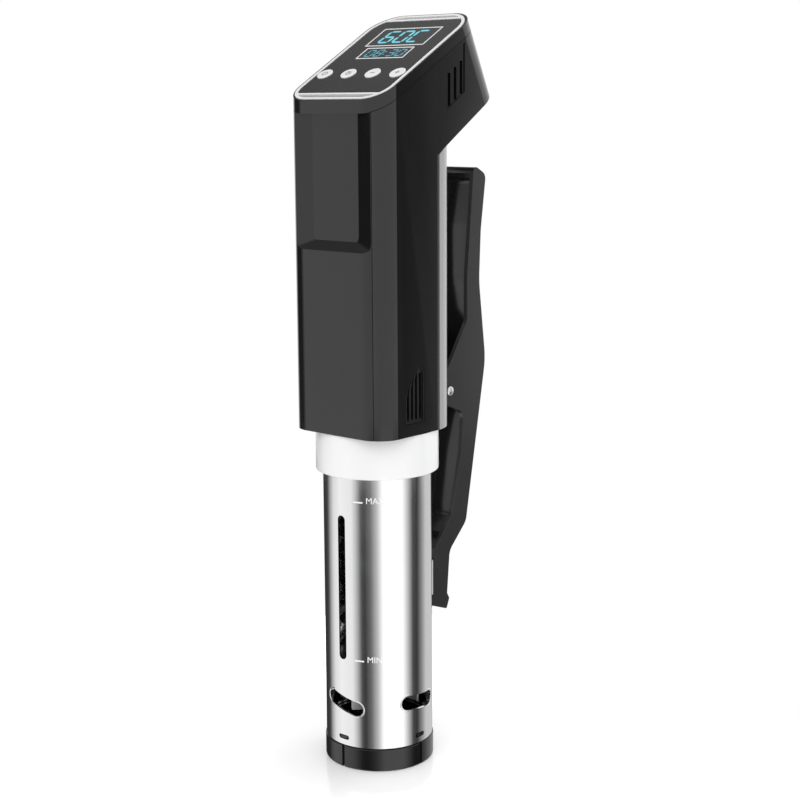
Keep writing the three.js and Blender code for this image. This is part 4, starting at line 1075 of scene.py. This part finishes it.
def makeHousing():
    hollow = housingSolid("bodyShell", 0, housing["bottom"], 0)
    full = copyOf(hollow, "outside")
    floor = housing["bottom"] + housing["floor"]
    cutAway(hollow, housingSolid("cavity", housing["wall"], floor, housing["lid"]))
    half = housing["gap"] / 2
    lid = keepCommon(copyOf(hollow, "topLid"), aboveSeam("seam", half))
    trimHole = layOnPanel(prism("pocket", trimOutline(-housing["gap"]), "Z", -trim["pocket"], 5 * mm))
    cutAway(lid, trimHole)
    through = copyOf(full, "frontCover")
    cutAway(through, housingSolid("through", housing["wall"], wellBelow, housing["lid"]))
    rear = keepCommon(copyOf(through, "rearCover"), rearRegion("rearPart", -half))
    front = keepCommon(through, frontRegion("frontPart", -half))
    reach = housing["coverHalf"] - housing["gap"]
    backing = addBlock("backing", (-reach, housing["front"] + 1 * mm, scoop["bottom"] - 4 * mm),
                       (reach, housing["front"] + scoop["depth"] + housing["wall"], wellAbove))
    weld(front, keepCommon(backing, full))
    cutAway(front, aboveSeam("seam", -half))
    cutAway(front, scoopCutter())
    cutAway(hollow, aboveSeam("seam", -half))
    cutAway(hollow, frontRegion("frontPart", half))
    cutAway(hollow, rearRegion("rearPart", half))
    floorHole = circleOutline(housing["floorHole"])
    cutAway(hollow, prism("floorHole", floorHole, "Z", wellBelow, housing["bottom"] + 5 * mm))
    for side in (-1, 1):
        cutAway(hollow, ventRecess("recess", side))
    for k in range(vents["count"]):
        y, half = vents["first"] + k * vents["pitch"], vents["width"] / 2
        low = vents["bottom"] + k * vents["pitch"] * housing["underSlope"]
        vent = addBlock("vent", (allWidth[0], y - half, low), (allWidth[1], y + half, low + vents["length"]))
        cutAway(hollow, vent)
    cutAway(hollow, prism("grilleHole", grilleOutline(0), "X", *allWidth))
    hole = prism("glandHole", circleOutline(glandPlace["radius"] + housing["gap"]), "Z", -6 * mm, 4 * mm)
    cutAway(hollow, layOnHeadBack(hole))
    # the cover's shading angle keeps the scoop's slopes flat
    smooth(front, housing["coverSmooth"])
    for piece in (hollow, lid, rear):
        smooth(piece, housing["smooth"])
    for piece, slotName, node in ((hollow, "black_gloss", "body_shell"), (lid, "black_gloss", "top_lid"),
                                  (front, "black_gloss", "front_cover"), (rear, "grey_gloss", "rear_cover")):
        fit(piece, slotName, "housing", node)


def makeGrille(name, side, node):
    def plate(label, sunk):
        faces = sorted(side * (housing["halfWidth"] - depth) for depth in (housing["wall"], sunk))
        return prism(label, grilleOutline(housing["gap"]), "X", *faces)

    piece = plate(name, grille["sunk"])
    rim = plate("rim", grille["rimSunk"])
    cutAway(rim, prism("rimHole", grilleOutline(housing["gap"] + grille["rim"]), "X", *allWidth))
    weld(piece, rim)
    front, high, half = grille["front"], grille["top"], grille["slotWidth"] / 2
    pitch = (grille["rear"] - front - 2 * grille["margin"]) / grille["slots"]
    for k in range(grille["slots"]):
        y = front + grille["margin"] + pitch * (k + 0.5)
        slant = high - grille["slotShoulder"] + (y - front) * grille["slotRise"]
        top = min(slant, high - grille["slotAbove"])
        low = grille["bottom"] + grille["slotBelow"]
        cutAway(piece, addBlock("slot", (allWidth[0], y - half, low), (allWidth[1], y + half, top)))
    return fit(smooth(piece, 30), "black_matte", "housing", node)


# ---- panel: flat work in u across, v up the slope and w out of it
trim = {"half": 31.8 * mm, "front": -37.4 * mm, "rear": 50 * mm, "frontRadius": 13 * mm,
        "rearRadius": 16 * mm,
        "width": 1.7 * mm, "proud": 0.25 * mm, "pocket": 1.5 * mm, "seat": -1.2 * mm,
        "barFront": -32.2 * mm, "barRear": 45.3 * mm, "barWidth": 1.4 * mm}
windows = {"large": {"half": 19.5 * mm, "from": 17.6 * mm, "to": 36.1 * mm},
           "small": {"half": 15.75 * mm, "from": 4.2 * mm, "to": 15.1 * mm}}
buttons = {"radius": 4.4 * mm, "pitch": 16.4 * mm, "row": -11.8 * mm, "count": 4, "proud": 0.6 * mm,
           "flange": 5.4 * mm, "flangeTop": -4.1 * mm, "flangeThickness": 1 * mm, "clearance": 0.3 * mm,
           "edge": 0.5 * mm, "dish": 0.16 * mm, "signSunk": 0.14 * mm,
           "signs": ("power", "clock", "minus", "plus")}


def layOnPanel(piece):
    piece.rotation_euler.x = panelAngle
    piece.location.z = panel["height"]
    return settle(piece)


def trimOutline(inset, steps=14):
    half = trim["half"] - inset
    low, high = trim["front"] + inset, trim["rear"] - inset
    frontRadius, rearRadius = trim["frontRadius"] - inset, trim["rearRadius"] - inset
    return roundedOutline([(-half, low, frontRadius), (half, low, frontRadius),
                           (half, high, rearRadius), (-half, high, rearRadius)], steps)


def windowOutline(window, grow, radius=0.8 * mm):
    return rectangle(window["half"] + grow, window["from"] - grow, window["to"] + grow, radius)


def makeTrim():
    piece = prism("trimRing", trimOutline(0), "Z", trim["seat"], trim["proud"])
    cutAway(piece, prism("trimHole", trimOutline(trim["width"]), "Z", *allDepth))
    inner = prism("barLimit", trimOutline(trim["width"] / 2), "Z", trim["seat"], trim["proud"])
    for v in (trim["barFront"], trim["barRear"]):
        half = trim["barWidth"] / 2
        bar = addBlock("bar", (-trim["half"], v - half, trim["seat"] - 1 * mm),
                       (trim["half"], v + half, trim["proud"] + 1 * mm))
        weld(piece, keepCommon(bar, inner, keep=True))
    bpy.data.objects.remove(inner)
    softenEdges(piece, 0.2 * mm)
    return fit(layOnPanel(smooth(piece, 30)), "white_gloss", "housing", "trim_ring")


def buttonPlaces():
    return [(k - (buttons["count"] - 1) / 2) * buttons["pitch"] for k in range(buttons["count"])]


def makeOverlay():
    piece = prism("panelOverlay", trimOutline(trim["width"] + housing["gap"]), "Z", trim["seat"], 0)
    start = trim["barFront"] + trim["barWidth"] / 2 + housing["gap"]
    end = trim["barRear"] - trim["barWidth"] / 2 - housing["gap"]
    limit = addBlock("overlayLimit", (-trim["half"], start, allDepth[0]), (trim["half"], end, allDepth[1]))
    keepCommon(piece, limit)
    for window in windows.values():
        cutAway(piece, prism("windowHole", windowOutline(window, 0), "Z", *allDepth))
    for u in buttonPlaces():
        hole = circleOutline(buttons["radius"] + buttons["clearance"], u, buttons["row"], 48)
        cutAway(piece, prism("buttonHole", hole, "Z", *allDepth))
    return fit(layOnPanel(smooth(piece, 30)), "panel_grey", "housing", "panel_overlay")


def makeWindow(name, window, node):
    piece = prism(name, windowOutline(window, -housing["gap"]), "Z", trim["seat"], -0.1 * mm)
    return fit(layOnPanel(smooth(piece, 30)), "display_glass", "housing", node)


# how far each outline stands outside the window, and its corners' radius
windowFrame = {"outside": (0.35 * mm, 0.6 * mm), "inside": (-0.45 * mm, 0.3 * mm),
               "sunk": 0.05 * mm, "proud": 0.06 * mm}


def makeWindowFrames():
    frames = []
    for window in windows.values():
        outline, hole = (windowOutline(window, *windowFrame[edge]) for edge in ("outside", "inside"))
        ring = prism("windowFrame", outline, "Z", -windowFrame["sunk"], windowFrame["proud"])
        cutAway(ring, prism("frameHole", hole, "Z", *allDepth))
        frames.append(ring)
    piece = layOnPanel(joinAll(frames, "windowFrames"))
    return fit(piece, "white_gloss", "housing")


segments = {"slant": 0.12, "gap": 0.18, "depth": 0.08 * mm,
            "ends": {"a": ((0, 1), (1, 1)), "b": ((1, 0.5), (1, 1)), "c": ((1, 0), (1, 0.5)),
                     "d": ((0, 0), (1, 0)), "e": ((0, 0), (0, 0.5)), "f": ((0, 0.5), (0, 1)),
                     "g": ((0, 0.5), (1, 0.5))},
            "numbers": {"0": "abcdef", "1": "bc", "2": "abdeg", "3": "abcdg", "4": "bcfg", "5": "acdfg",
                        "6": "acdefg", "7": "abc", "8": "abcdefg", "9": "abcdfg", "C": "adef", " ": ""},
            "dots": (0.3, 0.7), "dotShare": 0.6, "dotShift": 0.2, "colonPitch": 0.45}


def segmentOutline(stroke, width, height, thick):
    # a stroke with pointed ends, from its two ends
    gap = thick * segments["gap"]
    start, end = (Vector((a * width, b * height)) for a, b in segments["ends"][stroke])
    along = (end - start).normalized()
    side = Vector((-along.y, along.x)) * thick / 2
    start, end = start + along * gap, end - along * gap
    tip = along * thick / 2
    points = [start, start + tip - side, end - tip - side, end, end - tip + side, start + tip + side]
    return [(point.x + segments["slant"] * point.y, point.y) for point in points]


def addNumber(text, u, v, width, height, thick, pitch):
    outlines = []
    for sign in text:
        if sign == ":":
            for share in segments["dots"]:
                middle = u + segments["slant"] * height * share - thick * segments["dotShift"]
                outlines.append(circleOutline(thick * segments["dotShare"], middle, v + height * share, 10))
            u += pitch * segments["colonPitch"]
            continue
        for stroke in segments["numbers"][sign]:
            outlines.append([(a + u, b + v) for a, b in segmentOutline(stroke, width, height, thick)])
        u += pitch
    return [prism("stroke", outline, "Z", -segments["depth"], 0.0) for outline in outlines]


# each reading is placed from its window's lower left corner
readings = {
    "temperatureNumbers": {
        "text": "60C", "window": "large", "place": (5.6 * mm, 3.6 * mm), "width": 6.6 * mm,
        "height": 11.6 * mm, "thick": 1.5 * mm, "pitch": 9.6 * mm, "color": (0.10, 0.36, 0.42)},
    "timerNumbers": {
        "text": "08:30", "window": "small", "place": (3.4 * mm, 2.3 * mm), "width": 4.0 * mm,
        "height": 6.3 * mm, "thick": 0.9 * mm, "pitch": 6.0 * mm, "color": (0.06, 0.20, 0.25)},
}


def makeNumbers():
    for name, reading in readings.items():
        window, (right, up) = windows[reading["window"]], reading["place"]
        strokes = addNumber(reading["text"], -window["half"] + right, window["from"] + up,
                            *(reading[key] for key in ("width", "height", "thick", "pitch")))
        finish = glowFinish(name + "Glow", reading["color"], 0.8, 0.5)
        fit(layOnPanel(joinAll(strokes, name)), "display_glass", "housing", finish=finish)


def iconStrokes(kind, u, v, top):
    # simple signs: on and off, plus, minus, and a clock
    low, high = top - 0.02 * mm, top + 0.05 * mm

    def bar(a, b, c, d):
        return addBlock("iconBar", (u + a * mm, v + b * mm, low), (u + c * mm, v + d * mm, high))

    if kind == "plus":
        return [weld(bar(-1.5, -0.25, 1.5, 0.25), bar(-0.25, -1.5, 0.25, 1.5))]
    if kind == "minus":
        return [bar(-1.5, -0.25, 1.5, 0.25)]
    ring = prism("iconRing", circleOutline(1.7 * mm, u, v), "Z", low, high)
    under, over = low - 1 * mm, high + 1 * mm
    cutAway(ring, prism("iconHole", circleOutline(1.25 * mm, u, v), "Z", under, over))
    if kind == "power":
        cutAway(ring, addBlock("iconGap", (u - 0.7 * mm, v, under), (u + 0.7 * mm, v + 3 * mm, over)))
        return [ring, bar(-0.22, 0.2, 0.22, 2.1)]
    return [ring, bar(-0.18, -0.1, 0.18, 1.0), bar(0.1, -0.18, 0.9, 0.18)]


def makeButtons():
    printInk = plasticFinish("buttonPrint", {**plastics["panel_grey"], "color": (0.16, 0.16, 0.17)})
    radius, proud, edge, row = (buttons[key] for key in ("radius", "proud", "edge", "row"))
    flange, high = buttons["flange"], buttons["flangeTop"]
    low = high - buttons["flangeThickness"]
    profile = [(0, low), (flange, low), (flange, high), (radius, high), (radius, proud - edge)]
    profile += arcPoints(radius - edge, proud - edge, edge, range(18, 91, 18))
    # dished a little for the finger
    profile += [(radius * share, proud - buttons["dish"] * (1 - share ** 2))
                for share in (0.8, 0.6, 0.4, 0.2, 0)]
    for k, (u, sign) in enumerate(zip(buttonPlaces(), buttons["signs"])):
        number = str(k + 1)
        piece = turned("button" + number, profile, 64)
        piece.location = (u, row, 0)
        smooth(settle(piece), 40)
        body = "push_button_" + number
        fit(layOnPanel(piece), "white_gloss", body, "button_" + number)
        icon = joinAll(iconStrokes(sign, u, row, proud - buttons["signSunk"]), "buttonSign" + number)
        fit(layOnPanel(icon), "panel_grey", body, finish=printInk)


makeHousing()
print("housing made")
makeGrille("grilleRight", 1, "side_grille_right")
makeGrille("grilleLeft", -1, "side_grille_left")
makeTrim()
makeOverlay()
makeWindow("largeWindow", windows["large"], "display_window_large")
makeWindow("smallWindow", windows["small"], "display_window_small")
makeWindowFrames()
makeNumbers()
makeButtons()
print("panel made")

# ---- clip: lever, bracket, pin and spring
clip = {"halfWidth": leverHigh.x, "wall": 2.5 * mm, "foot": 29.5 * mm, "pinHole": 2.3 * mm,
        "softEdge": 0.5 * mm, "bracketHalf": 9 * mm, "bracketRise": 9.5 * mm, "ear": 2.6 * mm,
        "plate": 3 * mm, "nose": 5 * mm, "screwHole": 1.5 * mm, "screwRise": 6 * mm,
        "pinRadius": 2 * mm, "pinHead": 2.6 * mm, "pinGap": 0.3 * mm,
        "springWire": 0.8 * mm, "springRadius": 3.6 * mm, "springTurns": 4}


def leverOutline():
    # corners in millimetres: near side and back from the pin, jaw from the foot, each with its radius
    foot = clip["foot"] / mm
    y, z = pinCentre.y / mm, pinCentre.z / mm
    near = [(20.5, 121.4, 2.5), (14.8, 60, 90), (15, 37, 8), (0, 15, 10), (-5.8, 8.4, 3), (-5.8, -6.6, 3),
            (11.9, -13.5, 6), (10, -37, 60), (2.2, -69, 14)]
    jaw = [(4.5, -85.5, 0), (0.6, -86, 0), (0.6, -90.5, 0), (2.4, -92, 0.5), (2.4, -112.6, 0.5),
           (0, -113.6, 0),
           (0, -118, 0), (13.5, -123, 1), (15.9, -117.4, 1), (14, -114, 0), (16.2, -90, 8)]
    back = [(14.4, -76, 8), (31.4, 14, 40), (25.6, 58, 60), (26.9, 86, 60), (31.2, 115.8, 4.5)]
    corners = [(y + a, z + b, r) for a, b, r in near]
    corners += [(foot + a, z + b, r) for a, b, r in jaw]
    corners += [(y + a, z + b, r) for a, b, r in back]
    return roundedOutline([(a * mm, b * mm, r * mm) for a, b, r in corners], 8)


def leverHollow():
    y, z = pinCentre.y / mm - clip["wall"] / mm, pinCentre.z / mm
    corners = [(0, z - 82, 0), (y + 6, z - 82, 0), (y + 14, z - 73, 6), (y + 31.2, z + 14, 40),
               (y + 25.6, z + 58, 60), (y + 26.7, z + 86, 60), (y + 31, z + 112.4, 3),
               (y + 20.5, z + 117.9, 0), (0, z + 117.9, 0)]
    return roundedOutline([(a * mm, b * mm, r * mm) for a, b, r in corners], 8)


def makeLever():
    half, inner = clip["halfWidth"], clip["halfWidth"] - clip["wall"]
    piece = prism("clipLever", leverOutline(), "X", -half, half)
    cutAway(piece, prism("channel", leverHollow(), "X", -inner, inner))
    hole = circleOutline(clip["pinHole"], pinCentre.y, pinCentre.z)
    cutAway(piece, prism("pinHole", hole, "X", -half - 1 * mm, half + 1 * mm))
    softenEdges(piece, clip["softEdge"], 3)
    return fit(smooth(piece, 35), "lever_black", "clip", "clip_lever")


def makePad():
    padLow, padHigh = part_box("clip_pad")
    piece = addBlock("clipPad", padLow, padHigh)
    softenEdges(piece, 0.5 * mm, 3)
    return fit(smooth(piece, 35), "pump_grey", "clip", "clip_pad")


def makeBracket():
    face = housing["rear"] + housing["gap"]
    y, z = pinCentre.y, pinCentre.z
    half, rise, plate, nose = (clip[key] for key in ("bracketHalf", "bracketRise", "plate", "nose"))
    outline = roundedOutline([
        (face, z - rise, 1 * mm), (face + plate, z - rise, 0), (y, z - nose - 0.4 * mm, 3 * mm),
        (y + nose, z - nose, nose - 0.4 * mm), (y + nose, z + nose, nose - 0.4 * mm),
        (face + plate, z + rise, 0), (face, z + rise, 1 * mm)], 10)
    piece = addBlock("clipBracket", (-half, face, z - rise), (half, face + plate, z + rise))
    for side in (-1, 1):
        faces = sorted((side * half, side * (half - clip["ear"])))
        weld(piece, prism("ear", outline, "X", *faces))
    cutAway(piece, prism("pinHole", circleOutline(clip["pinHole"], y, z), "X", *allWidth))
    for side in (-1, 1):
        hole = circleOutline(clip["screwHole"], 0, z + side * clip["screwRise"])
        cutAway(piece, prism("screwHole", hole, "Y", face - 1 * mm, face + plate + 1 * mm))
    softenEdges(piece, 0.3 * mm)
    return fit(smooth(piece, 35), "black_matte", "housing", "clip_bracket")


def makePin():
    reach = clip["halfWidth"] + clip["pinGap"]
    radius, headRadius, head = clip["pinRadius"], clip["pinHead"], pinHigh.x - reach
    half = [(radius, -reach + 2 * mm), (radius, -reach), (headRadius, -reach)]
    half += [(headRadius * math.cos(a), -reach - head * math.sin(a))
             for a in map(math.radians, range(15, 90, 15))]
    half.append((0, -reach - head))
    profile = list(reversed(half)) + [(r, -h) for r, h in half]
    piece = turned("hingePin", profile, 48)
    piece.rotation_euler.y = math.radians(90)
    piece.location = pinCentre
    return fit(smooth(settle(piece), 40), "shaft_steel", "housing", "hinge_pin")


def makeSpring():
    wireRadius, radius, turns = clip["springWire"], clip["springRadius"], clip["springTurns"]
    span = clip["bracketHalf"] - clip["ear"] - wireRadius - housing["gap"]
    points = [(-span, pinCentre.y - 6.5 * mm, pinCentre.z + radius)]
    steps = turns * 24
    for k in range(steps + 1):
        angle = math.pi / 2 - fullTurn * turns * k / steps
        x = -span + 2 * span * k / steps
        points.append((x, pinCentre.y + radius * math.cos(angle), pinCentre.z + radius * math.sin(angle)))
    points.append((span, pinCentre.y + 14 * mm, pinCentre.z + radius + 4 * mm))
    piece = rod("torsionSpring", points, wireRadius, 12)
    return fit(smooth(piece, 60, weighted=False), "shaft_steel", "housing", "torsion_spring")


screw = {"length": 9 * mm, "shank": 1.2 * mm, "head": 2.2 * mm, "headHeight": 1.4 * mm,
         "driveLong": 1.3 * mm, "driveWide": 0.3 * mm}


def makeScrew(name, node, place):
    shank, head, high = screw["shank"], screw["head"], screw["headHeight"]
    profile = [(0, -screw["length"]), (shank, -screw["length"]), (shank, 0), (head, 0), (head, high * 0.6)]
    profile += [(head * math.cos(a), high * (0.6 + 0.4 * math.sin(a)))
                for a in map(math.radians, (22.5, 45, 67.5))]
    profile.append((0, high))
    piece = turned(name, profile, 32)
    arms = (screw["driveLong"], screw["driveWide"])
    for across, along in (arms, arms[::-1]):
        cutAway(piece, addBlock("drive", (-across, -along, high * 0.45), (across, along, high * 2)))
    piece.rotation_euler.x = math.radians(-90)
    piece.location = place
    return fit(smooth(settle(piece), 35), "screw_steel", "housing", node)


makeLever()
makePad()
makeBracket()
makePin()
makeSpring()
screwY = housing["rear"] + 2 * housing["gap"] + clip["plate"]
for number, side in (("1", -1), ("2", 1)):
    place = (0, screwY, pinCentre.z + side * clip["screwRise"])
    makeScrew("bracketScrew" + number, "bracket_screw_" + number, place)
print("clip made")

# ---- pump wheel, heater and gland
wheel = {"hub": 5 * mm, "bore": 2.7 * mm, "blades": 6, "plate": 1.6 * mm, "edge": 0.3 * mm,
         "fillet": 1 * mm,
         "bladeCircle": 14 * mm, "bladeOuter": 12.2 * mm, "bladeInner": 10.8 * mm, "bladeSpan": (0.35, 0.92)}


def makeImpeller():
    radius = impellerHigh.x
    low, high = impellerLow.z, impellerHigh.z
    bore, hub, edge, fillet = (wheel[key] for key in ("bore", "hub", "edge", "fillet"))
    under = high - wheel["plate"]
    profile = [(bore, low), (hub, low), (hub, under - fillet), (hub + fillet, under),
               (radius - edge, under), (radius, under + edge), (radius, high - edge),
               (radius - edge, high), (bore, high), (bore, low)]
    piece = turned("impeller", profile, 96)
    limit = prism("wheelLimit", circleOutline(radius - 0.1 * mm, steps=96), "Z", low, high)
    steps = 14
    for k in range(wheel["blades"]):
        outline = []
        span = wheel["bladeSpan"]
        for arm, (first, last) in ((wheel["bladeOuter"], span), (wheel["bladeInner"], span[::-1])):
            for j in range(steps + 1):
                angle = math.pi * (first + (last - first) * j / steps)
                outline.append((wheel["bladeCircle"] + arm * math.cos(angle), arm * math.sin(angle)))
        blade = keepCommon(prism("blade", outline, "Z", low, high - wheel["plate"] / 2), limit, keep=True)
        weld(piece, turnedRound(blade, 360 * k / wheel["blades"]))
    bpy.data.objects.remove(limit)
    return fit(smooth(piece, 35), "pump_grey", "rotor", "impeller")


heater = {"circle": 18.5 * mm, "wire": 2.6 * mm, "bottom": 60 * mm, "top": 138 * mm, "turns": 6,
          "returnLeg": 9.5 * mm, "legAngle": 60, "legTop": 182.2 * mm}


def polar(radius, degrees, height):
    angle = math.radians(degrees)
    return (radius * math.cos(angle), radius * math.sin(angle), height)


def makeHeater():
    angle, low, high = heater["legAngle"], heater["bottom"], heater["top"]
    heights = (heater["legTop"], 150 * mm, 110 * mm, low + 4 * mm)
    points = [polar(heater["returnLeg"], angle, height) for height in heights]
    points.append(polar(heater["returnLeg"] + 2 * mm, angle + 20, low - 1 * mm))
    points.append(polar(heater["circle"] - 3 * mm, angle + 55, low - 2.5 * mm))
    sweep = heater["turns"] * 360 - 90
    count = heater["turns"] * 24
    for k in range(count + 1):
        share = k / count
        points.append(polar(heater["circle"], angle + 90 + share * sweep, low + share * (high - low)))
    heights = (high + 12 * mm, high + 24 * mm, heater["legTop"])
    points += [polar(heater["circle"], angle, height) for height in heights]
    piece = rod("heaterCoil", points, heater["wire"] - 0.05 * mm, 16)
    return fit(smooth(piece, 60, weighted=False), "heater_steel", "housing", "heater_coil")


def makeGland():
    # radius and height in millimetres: stem, flange, sloping collar and bore
    stem = glandPlace["radius"] / mm
    profile = [(3.2, -5), (stem, -5), (stem, 0.3), (6.6, 0.3), (7, 0.7), (7, 1.7), (6.8, 2.1), (5.6, 3.3),
               (5.2, 3.4), (3.6, 3.4), (3.2, 3.0), (3.2, -5)]
    piece = turned("cordGland", [(radius * mm, height * mm) for radius, height in profile], 64)
    return fit(layOnHeadBack(smooth(piece, 40)), "rubber", "housing", "cord_gland")


makeImpeller()
makeHeater()
makeGland()
print("pump, heater and gland made")
